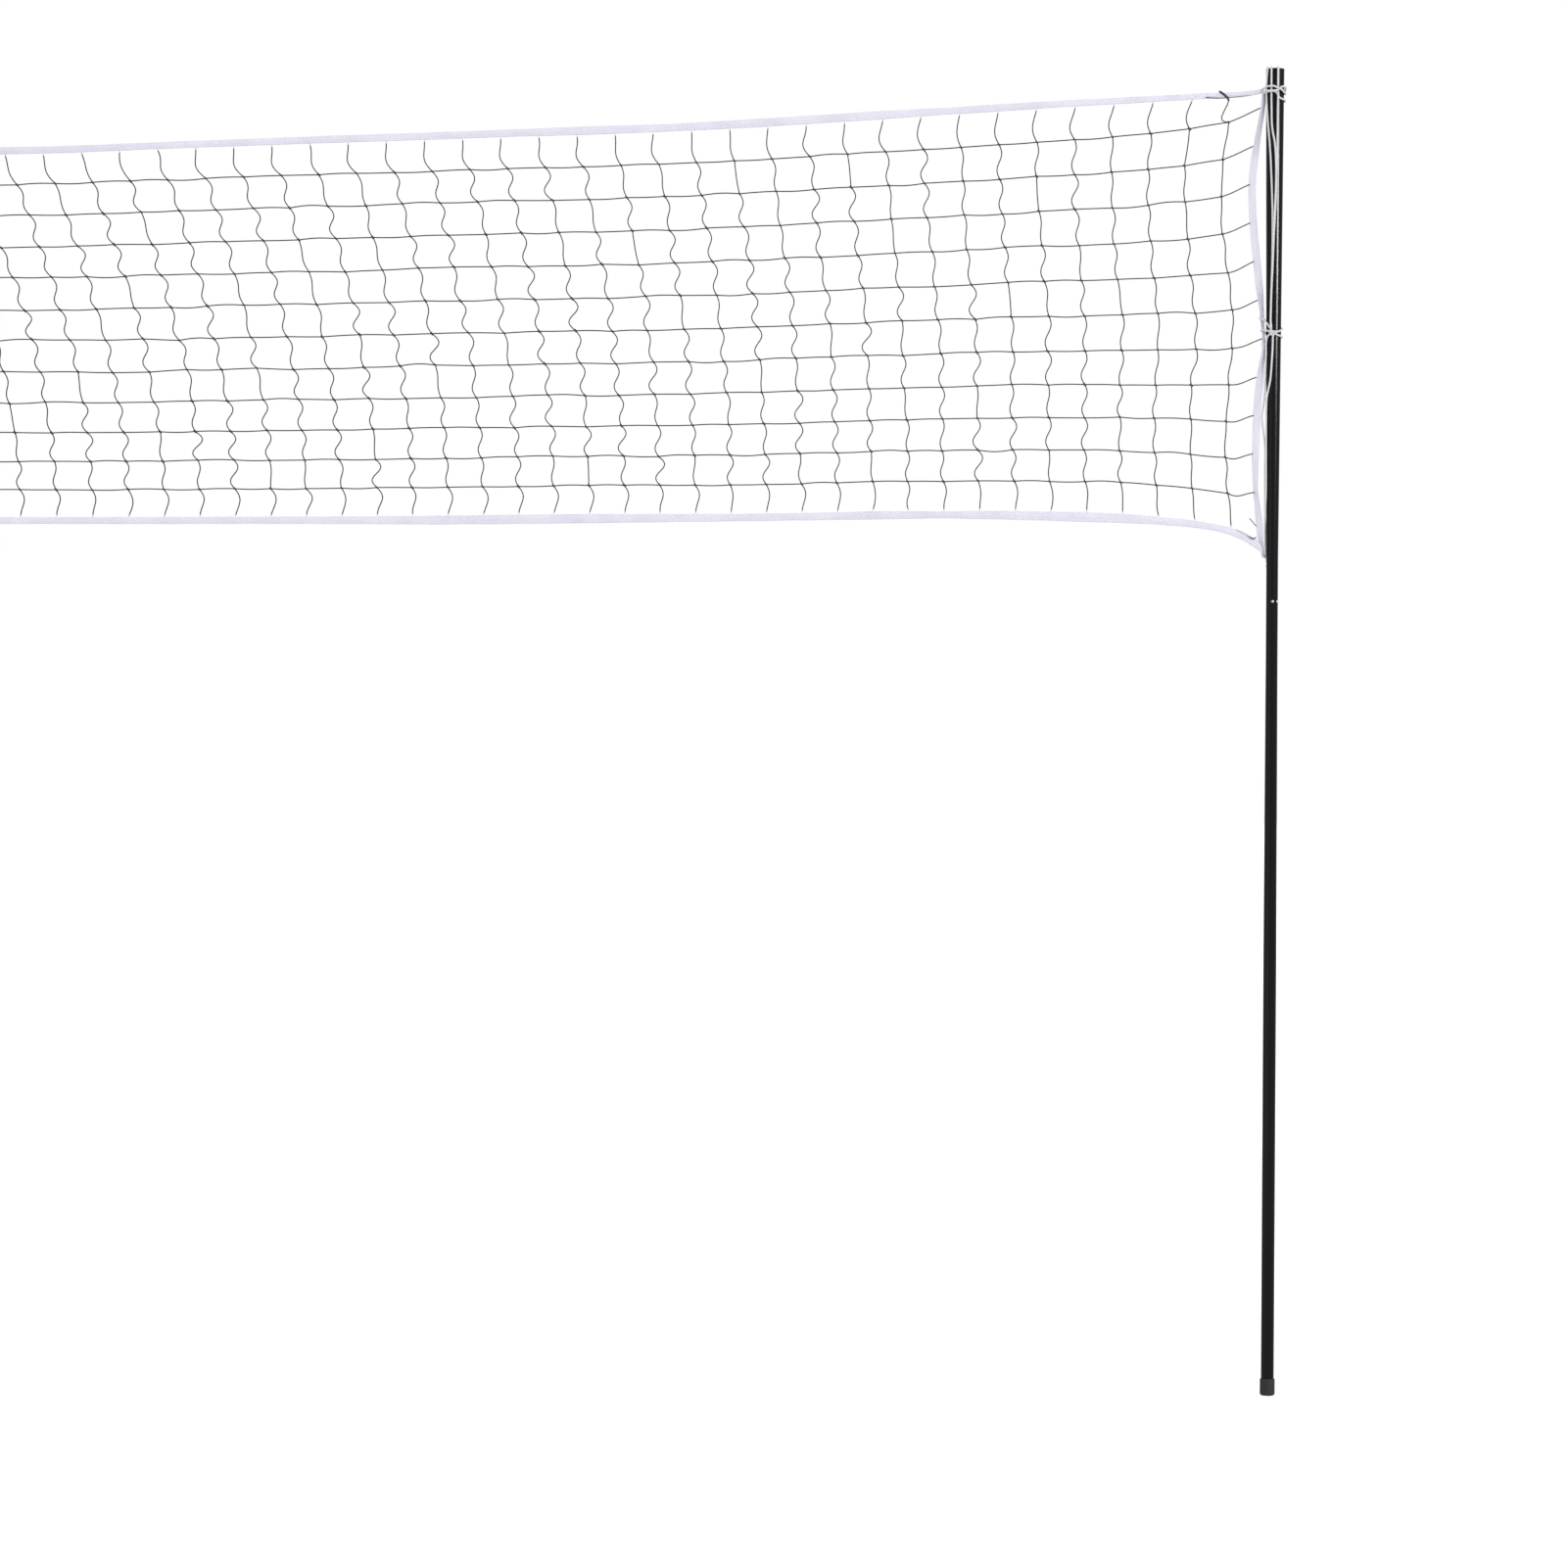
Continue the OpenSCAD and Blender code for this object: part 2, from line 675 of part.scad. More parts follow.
middle_tie(-1);  // left_middle_tie
middle_knot(-1);  // left_middle_knot
bottom_knot(-1);  // left_bottom_knot
edge_strand(-1);  // left_edge_strand
inner_strand(-1);  // left_inner_strand
outer_strand(-1);  // left_outer_strand
front_leg(-1);  // left_front_leg
side_leg(-1);  // left_side_leg
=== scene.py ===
import bpy
import numpy as np
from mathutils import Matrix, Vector


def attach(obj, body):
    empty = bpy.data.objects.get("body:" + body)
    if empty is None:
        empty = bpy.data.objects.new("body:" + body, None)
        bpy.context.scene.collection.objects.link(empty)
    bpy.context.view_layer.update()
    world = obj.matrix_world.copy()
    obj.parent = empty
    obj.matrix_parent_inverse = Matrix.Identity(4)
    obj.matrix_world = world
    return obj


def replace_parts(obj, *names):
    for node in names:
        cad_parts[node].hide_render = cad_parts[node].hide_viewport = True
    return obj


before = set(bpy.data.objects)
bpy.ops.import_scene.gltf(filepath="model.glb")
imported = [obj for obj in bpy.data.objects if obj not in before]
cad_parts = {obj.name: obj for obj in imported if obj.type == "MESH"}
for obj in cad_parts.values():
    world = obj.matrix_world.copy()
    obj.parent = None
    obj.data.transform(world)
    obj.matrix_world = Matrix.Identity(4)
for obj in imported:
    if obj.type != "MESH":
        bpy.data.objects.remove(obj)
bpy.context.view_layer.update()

# ---- Camera ----
# A little below the middle of the poles, 5.8 m in front of the net and 0.65 m left of the right
# pole. A long lens, rolled by a third of a degree.
lens = bpy.data.cameras.new("camera")
lens.lens = 100
lens.sensor_width = 36
camera = bpy.data.objects.new("camera", lens)
camera.location = (2.1105, -5.808, 0.811)
camera.rotation_euler = (np.radians(90), np.radians(-0.35), 0)
bpy.context.scene.collection.objects.link(camera)
bpy.context.scene.camera = camera
bpy.context.scene.view_settings.view_transform = "Standard"

# ---- Strands and legs: the free cords on each pole ----
# White three-strand laid cord, 2.5 mm thick. Three strands start behind the pole under the top
# tie, go over the pole's open top and run down its front to the middle knot. Two legs go on from
# the knot round the net side of the pole to the bottom knot behind it.
pole_x = 2759.7
pole_top = 1768
# The lower tube is straight, the middle one narrows upwards and the upper one widens to its top
pole_heights = [0, 587, 992, 1112, pole_top]
pole_radii = [8.8, 8.8, 7.9, 7.9, 12.3]
# The length in which a strand goes once round the cord, and a cord's steps and points round it
cord_lay = 8.5
cord_step, cord_around = 0.8, 18
cord_radius = 1.25
sides_of_net = {"right": 1, "left": -1}


def by_pole(route):
    """Rows of angle from the front towards the outside, distance d from the pole's surface and
    height z become (R + d) sin a, -(R + d) cos a, z, where R is the pole's radius at z."""
    angle, stand, z = np.asarray(route, float).T
    reach = np.interp(z, pole_heights, pole_radii) + stand
    return np.stack([reach * np.sin(np.radians(angle)), -reach * np.cos(np.radians(angle)), z], 1)


def on_front(route):
    """Rows of x, distance d from the surface and height z become x, -sqrt((R + d)^2 - x^2), z."""
    x, stand, z = np.asarray(route, float).T
    reach = np.interp(z, pole_heights, pole_radii) + stand
    return np.stack([x, -np.sqrt(reach**2 - x**2), z], 1)


def at_pole(points, side):
    """From millimetres beside a pole to metres in the frame. The left end is the mirror image."""
    return (points + [pole_x, 0, 0]) * [side, 1, 1] * 0.001


def smooth(route, step):
    """Centripetal Catmull-Rom curve through the points: knots stand apart by the square root of
    the distance, and three rounds of blending give a point. Then points one step apart on it."""
    between = 24
    p = np.asarray(route, float)
    p = np.vstack([2 * p[0] - p[1], p, 2 * p[-1] - p[-2]])
    knots = np.concatenate([[0], np.cumsum(np.linalg.norm(np.diff(p, axis=0), axis=1) ** 0.5)])
    span = np.repeat(np.arange(1, len(p) - 2), between)
    part = np.tile(np.arange(between) / between, len(p) - 3)
    at = knots[span] + part * (knots[span + 1] - knots[span])

    def mix(a, b, low, high):
        """Straight blend from a at knot low to b at knot high."""
        share = ((at - knots[span + low]) / (knots[span + high] - knots[span + low]))[:, None]
        return a + (b - a) * share

    first = [mix(p[span + k], p[span + k + 1], k, k + 1) for k in (-1, 0, 1)]
    second = [mix(first[0], first[1], -1, 1), mix(first[1], first[2], 0, 2)]
    curve = np.vstack([mix(second[0], second[1], 0, 1), p[-2]])
    along = np.concatenate([[0], np.cumsum(np.linalg.norm(np.diff(curve, axis=0), axis=1))])
    spots = np.linspace(0, along[-1], max(3, round(along[-1] / step) + 1))
    return np.stack([np.interp(spots, along, curve[:, axis]) for axis in range(3)], 1)


def skin(name, points, face_groups, uv_groups, slot, finish):
    """A piece on the body of the pole tops, from its points and from arrays with one face and its
    UVs in a row."""
    mesh = bpy.data.meshes.new(name)
    mesh.vertices.add(len(points))
    mesh.vertices.foreach_set("co", np.ascontiguousarray(points, np.float32).ravel())
    corners = np.concatenate([faces.ravel() for faces in face_groups])
    sizes = np.concatenate([np.full(len(faces), faces.shape[1]) for faces in face_groups])
    mesh.loops.add(len(corners))
    mesh.loops.foreach_set("vertex_index", corners.astype(np.int32))
    mesh.polygons.add(len(sizes))
    mesh.polygons.foreach_set("loop_start", (np.cumsum(sizes) - sizes).astype(np.int32))
    mesh.polygons.foreach_set("use_smooth", np.ones(len(sizes), bool))
    flat = np.concatenate([uv.reshape(-1, 2) for uv in uv_groups]).astype(np.float32)
    mesh.uv_layers.new(name="UVMap").data.foreach_set("uv", flat.ravel())
    mesh.update(calc_edges=True)
    mesh.validate()
    mesh.materials.append(finish)
    piece = bpy.data.objects.new(name, mesh)
    bpy.context.scene.collection.objects.link(piece)
    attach(piece, "net_and_pole_tops")
    return piece


def ring_faces(tubes, rings, around):
    """Faces and UVs of closed tubes whose points are ordered tube, ring, place round the ring.
    Quads join each ring to the next, and a face of all its points closes each end."""
    t, r, s = np.meshgrid(np.arange(tubes), np.arange(rings - 1), np.arange(around), indexing="ij")
    start = (t * rings + r) * around
    turned = (s + 1) % around
    quads = np.stack([start + s, start + turned, start + around + turned, start + around + s], -1)
    bottoms = np.arange(tubes)[:, None] * rings * around + np.arange(around)[::-1]
    tops = (np.arange(tubes)[:, None] * rings + rings - 1) * around + np.arange(around)
    return quads.reshape(-1, 4), bottoms, tops


def tube(paths, radius, around, reference, lay=None, swell=0.08):
    """Rings square to each path, out along the reference direction less its share along the path.
    A laid cord's radius is r (1 + swell cos 3(a - 2 pi s / lay)) at angle a and length s. UVs are
    length and turn, in metres and turns."""
    paths = np.asarray(paths, float)
    paths = paths[None] if paths.ndim == 2 else paths
    heading = np.gradient(paths, axis=1)
    heading /= np.linalg.norm(heading, axis=2, keepdims=True)
    out = reference - (heading @ np.asarray(reference, float))[..., None] * heading
    out /= np.linalg.norm(out, axis=2, keepdims=True)
    up = np.cross(heading, out)
    steps = np.linalg.norm(np.diff(paths, axis=1), axis=2)
    along = np.concatenate([np.zeros((len(paths), 1)), np.cumsum(steps, axis=1)], 1)
    angle = 2 * np.pi * np.arange(around) / around
    reach = np.full((*along.shape, around), radius)
    if lay:
        reach = radius * (1 + swell * np.cos(3 * (angle - 2 * np.pi * along[..., None] / lay)))
    points = (
        paths[:, :, None]
        + (reach * np.cos(angle))[..., None] * out[:, :, None]
        + (reach * np.sin(angle))[..., None] * up[:, :, None]
    )
    tubes, rings = along.shape
    quads, bottoms, tops = ring_faces(tubes, rings, around)
    turn = np.arange(around)[None, None] / around + np.zeros((tubes, rings - 1, 1))
    low = along[:, :-1, None] + 0 * turn
    high = along[:, 1:, None] + 0 * turn
    quad_uv = np.stack([low, turn, low, turn + 1 / around, high, turn + 1 / around, high, turn], -1)
    end_uv = np.zeros((tubes, around, 2))
    return points.reshape(-1, 3), [quads, bottoms, tops], [quad_uv.reshape(-1, 8), end_uv, end_uv]


def linear(code):
    """An sRGB hex colour as linear red, green, blue and alpha."""
    value = np.array([int(code[k : k + 2], 16) for k in (1, 3, 5)]) / 255
    value = np.where(value <= 0.04045, value / 12.92, ((value + 0.055) / 1.055) ** 2.4)
    return (*value.tolist(), 1.0)


def finish_named(name):
    """An empty node material and its tree."""
    made = bpy.data.materials.new(name)
    made.use_nodes = True
    made.node_tree.nodes.clear()
    return made, made.node_tree


def add(tree, kind, inputs=None, **settings):
    """One node with its settings. An input is a value for its socket, or a socket to join to it."""
    made = tree.nodes.new(kind)
    for name, value in settings.items():
        setattr(made, name, value)
    for name, value in (inputs or {}).items():
        if isinstance(value, bpy.types.NodeSocket):
            tree.links.new(value, made.inputs[name])
        else:
            made.inputs[name].default_value = value
    return made


def twist(tree, lay):
    """Three strands twisted with that lay, in metres: length along the cord, the turn w at which
    a point lies in its strand, and cos 3 (2 pi w), which is 1 on each strand's crest."""
    uv = add(tree, "ShaderNodeUVMap", uv_map="UVMap").outputs["UV"]
    parts = add(tree, "ShaderNodeSeparateXYZ", {"Vector": uv}).outputs
    share = add(tree, "ShaderNodeMath", {0: parts["X"], 1: 1 / lay}, operation="MULTIPLY")
    turn = add(
        tree, "ShaderNodeMath", {0: parts["Y"], 1: share.outputs[0]}, operation="SUBTRACT"
    )
    phase = add(tree, "ShaderNodeMath", {0: turn.outputs[0], 1: 6 * np.pi}, operation="MULTIPLY")
    crest = add(tree, "ShaderNodeMath", {0: phase.outputs[0]}, operation="COSINE")
    return parts["X"], turn.outputs[0], crest.outputs[0]


# Bleached polypropylene cord: three strands laid together, with painted shade that makes it darker
# in the grooves that wind round it, fine fibres along each strand and a soft, slightly waxy gloss.
laid_cord, tree = finish_named("bleached_laid_cord")
along, turn, crest = twist(tree, cord_lay / 1000)
fibre_place = add(tree, "ShaderNodeCombineXYZ", {"X": along, "Y": turn})
# Fibres 0.1 mm thick run along each strand for some millimetres
fibre_size = add(
    tree, "ShaderNodeMapping", {"Vector": fibre_place.outputs[0], "Scale": (250, 60, 1)}
)
fibres = add(
    tree, "ShaderNodeTexNoise", {"Vector": fibre_size.outputs[0], "Scale": 1, "Detail": 3}
).outputs["Fac"]
# Painted shade: the grooves take the darker grey and the crests the lighter one, and both sit below
# the cord's bleached white as painted shade of a cord lying against the black pole.
shade = add(tree, "ShaderNodeMapRange", {"Value": crest, "From Min": -1.0, "From Max": 0.3})
grey = add(
    tree, "ShaderNodeMix",
    {"Factor": shade.outputs[0], "A": linear("#abacb0"), "B": linear("#e0e0e3")},
    data_type="RGBA",
)
relief = add(tree, "ShaderNodeBump", {"Height": fibres, "Strength": 0.35, "Distance": 0.0002})
polypropylene = add(
    tree, "ShaderNodeBsdfPrincipled",
    {
        "Base Color": grey.outputs["Result"], "Roughness": 0.62, "Specular IOR Level": 0.3,
        "Sheen Weight": 0.12, "Normal": relief.outputs[0],
    },
)
add(tree, "ShaderNodeOutputMaterial", {"Surface": polypropylene.outputs[0]})


def cord_by_pole(side_name, name, ending, route, reference=(1, 0, 0)):
    """A cord's piece along a route beside one pole, in place of the solid of that name."""
    path = at_pole(route, sides_of_net[side_name])
    wound = tube(path, cord_radius / 1000, cord_around, reference, cord_lay / 1000)
    piece = skin(f"{side_name}_{name}_{ending}", *wound, "cord", laid_cord)
    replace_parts(piece, f"{side_name}_{name}")
    return piece, path


strand_start_z = 1727


def strand(back_x, front_x, rows):
    """From behind the pole over its open top, then down the front along the rows."""
    behind = -on_front([[back_x, 1.55, pole_top]])[0][1]
    before = -on_front([[front_x, 1.55, pole_top]])[0][1]
    over = [
        [back_x, behind - 0.5, strand_start_z],
        [back_x, behind - 0.4, strand_start_z + 9],
        [back_x, behind - 0.2, 1750],
        [back_x, behind + 0.15, 1764.5],
        [back_x, behind + 0.1, 1766.8],
        [back_x, behind - 0.75, 1768.9],
        [back_x, behind - 2.2, 1769.65],
        [(back_x + front_x) / 2, 0, 1769.55],
        [front_x, 2.2 - before, 1769.65],
        [front_x, 0.75 - before, 1768.9],
        [front_x, -before - 0.1, 1766.8],
        [front_x, -before - 0.15, 1764.5],
    ]
    return np.vstack([over, on_front(rows)])


# Rows of x, distance from the pole and height, down the front to the knot. Below 1600 mm the three
# lie one over the other.
strand_rows = {
    "edge_strand": [
        [-12.0, 1.55, 1752], [-12.2, 1.55, 1735], [-11.7, 1.55, 1720], [-10.8, 1.55, 1704],
        [-9.6, 1.55, 1688], [-7.9, 1.55, 1668], [-6.6, 1.55, 1648], [-5.5, 1.6, 1624],
        [-4.6, 2.3, 1600], [-3.9, 3.3, 1574], [-3.7, 3.8, 1547], [-4.0, 4.0, 1508],
        [-5.0, 4.05, 1469], [-5.4, 4.0, 1446], [-5.6, 3.8, 1430], [-5.2, 3.8, 1420],
    ],
    "inner_strand": [
        [-6.3, 1.55, 1752], [-6.2, 1.55, 1735], [-5.9, 1.55, 1715], [-5.4, 1.65, 1694],
        [-4.1, 2.6, 1682], [-2.0, 4.0, 1670], [-0.9, 4.35, 1660], [-0.1, 4.4, 1646],
        [0.3, 4.3, 1630], [0.0, 4.8, 1606], [-1.2, 5.7, 1578], [-2.6, 6.1, 1547],
        [-3.8, 6.4, 1508], [-5.1, 6.45, 1469], [-5.6, 6.4, 1446], [-5.7, 6.2, 1431],
        [-4.6, 5.6, 1422],
    ],
    "outer_strand": [
        [2.4, 1.55, 1752], [2.4, 1.6, 1739.4], [2.4, 2.4, 1736.6], [2.4, 4.1, 1733.6],
        [2.4, 4.4, 1729.6], [2.3, 3.3, 1725.6], [2.3, 1.8, 1721], [2.2, 1.55, 1712],
        [2.2, 1.55, 1690], [2.0, 1.55, 1668], [1.6, 1.55, 1649], [1.1, 1.55, 1625],
        [0.7, 1.55, 1600], [-0.6, 1.55, 1570], [-1.7, 1.55, 1547], [-3.0, 1.55, 1508],
        [-4.6, 1.55, 1469], [-5.1, 1.55, 1442], [-5.2, 1.6, 1428], [-4.4, 2.2, 1420],
    ],
}
# Behind the pole, and where they come over its front rim
strand_starts = {
    "edge_strand": (-8.6, -11.2), "inner_strand": (-4.05, -6.3), "outer_strand": (4.2, 2.4)
}
# Rows of angle, distance from the pole and height, from the middle knot to the bottom knot
leg_rows = {
    "side_leg": [
        [-24, 3.2, 1413.8], [-40, 2.8, 1412], [-56, 2.0, 1408], [-65, 1.6, 1402],
        [-67, 1.55, 1390], [-74, 1.55, 1371], [-79, 1.9, 1348], [-84, 3.6, 1322],
        [-90, 5.9, 1304], [-90, 4.2, 1286], [-90, 1.95, 1267], [-91, 1.8, 1232],
        [-92, 1.8, 1199], [-106, 1.8, 1172], [-124, 1.8, 1149], [-142, 1.9, 1126],
        [-158, 2.4, 1111], [-158, 2.9, 1107.2],
    ],
    "front_leg": [
        [-9, 3.2, 1413], [-11, 2.6, 1408], [-12, 1.6, 1400], [-14, 1.6, 1390],
        [-20, 1.6, 1370], [-26, 1.8, 1355], [-40, 2.0, 1341], [-54, 2.1, 1330],
        [-63, 1.7, 1316], [-66, 1.55, 1298], [-67, 1.55, 1250], [-68, 1.6, 1205],
        [-80, 1.7, 1180], [-98, 1.8, 1159], [-113, 1.8, 1140], [-127, 2.0, 1124],
        [-142, 2.7, 1112], [-152, 3.0, 1107.6],
    ],
}
free_cords = {
    name: (strand(*strand_starts[name], rows), "taut") for name, rows in strand_rows.items()
}
free_cords |= {name: (by_pole(rows), "hanging") for name, rows in leg_rows.items()}
for side_name in sides_of_net:
    for name, (route, lay) in free_cords.items():
        piece, path = cord_by_pole(side_name, name, "laid", smooth(route, cord_step))

# ---- Top ties and middle ties ----
# The head cord leaves the top tape and is wound 2.6 turns round the pole, over the strands. The
# middle tie is two turns round the pole and the side tape, out of the middle knot and into it.
top_tie_start = [
    [-30, 0, 1738.2], [-24, 0, 1738.4], [-20.8, -0.1, 1738.8], [-18.6, -0.9, 1739.5],
    [-17.3, -3.4, 1740.8],
]
top_tie_rows = [
    [-62, 4.6, 1742.2], [-51, 4.35, 1742.9], [-40, 4.35, 1743.3], [-25, 4.35, 1743.5],
    [-13, 4.4, 1743.4], [-4, 4.8, 1742.3], [3, 5.8, 1741.2], [11, 6.9, 1740.0],
    [19, 6.7, 1738.9], [29, 5.1, 1737.7], [43, 3.2, 1736.2], [64, 2.2, 1735.2],
    [86, 1.8, 1735.0], [103, 1.9, 1735.5], [120, 2.2, 1736.0], [140, 3.4, 1737.0],
    [162, 4.35, 1737.8], [197, 4.35, 1738.0], [225, 4.35, 1737.6], [250, 4.4, 1737.0],
    [264, 4.7, 1736.9], [279, 5.4, 1736.8], [293, 6.6, 1736.9], [310, 7.0, 1737.0],
    [328, 7.0, 1736.95], [343, 6.9, 1736.9], [356, 6.5, 1737.1], [365, 5.2, 1738.0],
    [373, 4.4, 1739.8], [380, 4.2, 1741.4], [389, 3.4, 1742.7], [401, 2.5, 1743.5],
    [421, 1.9, 1743.8], [444, 2.0, 1742.7], [466, 2.7, 1741.0], [486, 4.6, 1739.0],
    [505, 6.7, 1737.4], [522, 6.8, 1735.6], [540, 5.6, 1734.4], [557, 4.4, 1734.0],
    [588, 4.35, 1733.8], [622, 4.35, 1734.0], [638, 4.35, 1734.3], [654, 4.35, 1735.2],
    [670, 4.35, 1736.2], [688, 4.35, 1736.5], [701, 4.3, 1736.5], [711, 3.5, 1736.3],
    [719, 2.5, 1735.4], [726, 1.7, 1733.4], [730.5, 1.55, 1731.2], [736, 1.55, 1729.3],
    [745, 1.55, 1727.8], [763, 1.55, 1726.8], [786, 1.55, 1726.1], [808, 1.55, 1725.6],
    [827, 1.55, 1725.4], [846, 1.55, 1725.2],
]
middle_tie_first = [
    [-12, 3.2, 1416.0], [8, 2.4, 1416.6], [29, 1.6, 1417.7], [62, 1.55, 1420.3],
    [89, 1.55, 1421.6], [130, 1.55, 1424.5], [180, 1.55, 1428.5], [225, 1.8, 1432.0],
    [250, 3.6, 1434.6], [262, 6.6, 1435.7],
]
middle_tie_over = [
    [-19.2, 0, 1436.0], [-18.2, -3.6, 1435.2], [-14.8, -7.4, 1433.2], [-10, -10.0, 1428.0],
    [-6.4, -11.4, 1422.4], [-4.0, -12.7, 1418.2],
]
middle_tie_second = [
    [-5, 3.0, 1415.2], [8, 1.9, 1413.8], [36, 1.55, 1412.0], [62, 1.55, 1411.0],
    [90, 1.55, 1410.6], [130, 1.55, 1411.6], [180, 1.55, 1413.5], [225, 1.6, 1415.8],
    [250, 2.9, 1417.6],
]
middle_tie_end = [
    [-16.9, 0, 1419.2], [-16.0, -3.6, 1419.7], [-13.2, -6.6, 1419.6], [-9.2, -9.2, 1418.6],
    [-6.4, -11.2, 1417.6], [-4.4, -12.6, 1416.6],
]
tie_routes = {
    "top_tie": np.vstack([top_tie_start, by_pole(top_tie_rows)]),
    "middle_tie": np.vstack(
        [by_pole(middle_tie_first), middle_tie_over, by_pole(middle_tie_second), middle_tie_end]
    ),
}
for side_name in sides_of_net:
    for name, route in tie_routes.items():
        cord_by_pole(side_name, name, "winding", smooth(route, cord_step), (0, 0, 1))

# ---- Knots ----
# The strands and the middle tie end in one knot on the front of the pole, and the legs and the
# foot cord in another behind it. Each is the same cord pulled tight on itself.
middle_knot_z = 1415.5
bottom_knot_z = 1106


def knot_path(centre, turned, width, height, depth):
    """A trefoil: across sin t + 2 sin 2t, up cos t - 2 cos 2t, deep sin 3t, each scaled to its
    half size and turned about the vertical. Its ends meet inside the lump."""
    t = np.linspace(0.15, 2 * np.pi + 0.15, 160)
    across = (np.sin(t) + 2 * np.sin(2 * t)) / 2.76 * width
    up = (np.cos(t) - 2 * np.cos(2 * t)) / 2.9 * height
    deep = np.sin(3 * t) * depth
    a = np.radians(turned)
    return centre + np.stack(
        [across * np.cos(a) + deep * np.sin(a), across * np.sin(a) - deep * np.cos(a), up], 1
    )


# Angle, distance from the pole and height, then half the width, the height and the depth
knots = {
    "middle_knot": [[-12, 4.1, middle_knot_z], 4.5, 2.8, 2.0],
    "bottom_knot": [[-159, 2.9, bottom_knot_z], 2.3, 1.7, 1.4],
}
for side_name in sides_of_net:
    for name, (centre, *half_sizes) in knots.items():
        route = knot_path(by_pole([centre])[0], centre[0], *half_sizes)
        cord_by_pole(side_name, name, "pulled", route, (0.02, 1, 0.05))

# ---- Top and bottom tapes with the cords in them ----
# A strip of pale plain-woven tape, folded lengthwise over the head cord or the foot cord. The
# netting hangs from its two lips.
half_span = 2743.2
# Where the head cord and the netting's gathers end, and where each tape ends
tape_end = 2735.7
top_tape_end = 2741.4
bottom_tape_end = 2746.8
top_corner_z, top_sag = 1738.6, 104
bottom_z, bottom_sag, corner_fall = 1176, 24, 47
# Distance from the pole's middle, height of the folded tape, and its drift from the plain line
top_tape_rows = np.array([
    [18, 5.4, 0.3], [24, 6.4, -0.7], [48, 7.0, -2.2], [93, 7.4, -0.9], [146, 7.4, -0.3],
    [198, 8.1, 0], [289, 8.6, 1.0], [368, 9.5, 0.8], [446, 9.0, 0.5], [524, 11.0, 0],
    [603, 10.9, -0.7], [707, 11.0, -1.4], [812, 9.7, -1.8], [916, 11.1, -0.7], [1021, 9.4, 0.4],
    [1256, 9.4, 1.2], [1465, 8.8, 0.7], [1621, 9.1, -1.3], [1850, 9.9, -0.6], [2080, 9.2, 0.7],
    [2300, 10.3, 0.9], [2540, 9.3, -0.4], [2760, 9.8, 0],
])
bottom_tape_rows = np.array([
    [12.8, 8.2, -2.4], [15, 10.4, 0.6], [19, 12.0, 2.6], [24, 12.3, 2.9], [29, 12.4, 3.2],
    [42, 10.9, 4.0], [62, 9.3, 3.0], [88, 8.8, 0.9], [140, 9.9, -1.6],
    [192, 11.9, -1.6], [245, 13.0, -1.1], [284, 12.1, -0.5], [362, 11.4, 1.2], [440, 8.9, 2.1],
    [519, 10.9, 2.1], [603, 9.8, 1.2], [707, 9.7, 0.6], [812, 10.8, 0.5], [916, 12.2, 0.4],
    [1021, 12.2, -0.2], [1125, 11.4, -0.7], [1256, 9.8, -0.3], [1360, 9.4, 0], [1674, 9.0, 0.3],
    [1900, 10.6, -0.6], [2100, 9.4, 0.5], [2350, 11.2, 0.4], [2560, 9.5, -0.4], [2760, 10.2, 0],
])


def top_line(x):
    """Middle of the top tape: a parabola that sags 104 mm, with the tape's own small drift."""
    drift = np.interp(pole_x - np.abs(x), top_tape_rows[:, 0], top_tape_rows[:, 2])
    return top_corner_z - top_sag * (1 - (x / half_span) ** 2) + drift


def bottom_line(x):
    """Middle of the bottom tape: a shallow parabola, drawn down to its corners exponentially."""
    drift = np.interp(pole_x - np.abs(x), bottom_tape_rows[:, 0], bottom_tape_rows[:, 2])
    fall = corner_fall * np.exp(-(half_span - np.abs(x)) / 72)
    return bottom_z - bottom_sag * (1 - (x / half_span) ** 2) - fall + drift


def tape_y(x):
    """How far the tapes wander from the net's plane: two slow waves that fade at the poles."""
    fade = np.clip((half_span - np.abs(x)) / 400, 0, 1)
    return fade * (1.1 * np.sin(x / 148 + 1.0) + 0.7 * np.sin(x / 61))


def tape_height(x, rows):
    """Height of the folded tape, between its rows, with a fine ripple of 0.2 mm."""
    return np.interp(pole_x - np.abs(x), rows[:, 0], rows[:, 1]) + 0.2 * np.sin(x / 11.3)


# The tape is 0.5 mm thick. Its half thickness outside is 1.3 mm at the lips and 2.1 mm round the
# cord, and the fold closes it.
tape_cloth = 0.5
fold_share = np.array([-1, -0.85, -0.68, -0.5, -0.34, -0.2, -0.07, 0.07, 0.2, 0.34, 0.5, 0.68, 0.84,
                       0.95, 1.0])


def strip(name, points, along, across, inside_out):
    """A tape's piece from the points of its closed rings. UVs are each ring's place along the
    tape and each point's place across it, in metres."""
    quads, bottoms, tops = ring_faces(1, len(along), len(across))
    if inside_out:
        quads, bottoms, tops = quads[:, ::-1], bottoms[:, ::-1], tops[:, ::-1]
    ring, place = np.divmod(quads, len(across))
    quad_uv = np.stack([along[ring], across[place]], -1) / 1000
    end_uv = np.zeros((1, len(across), 2))
    uvs = [quad_uv, end_uv, end_uv]
    return skin(name, points.reshape(-1, 3), [quads, bottoms, tops], uvs, "tape", woven_tape)


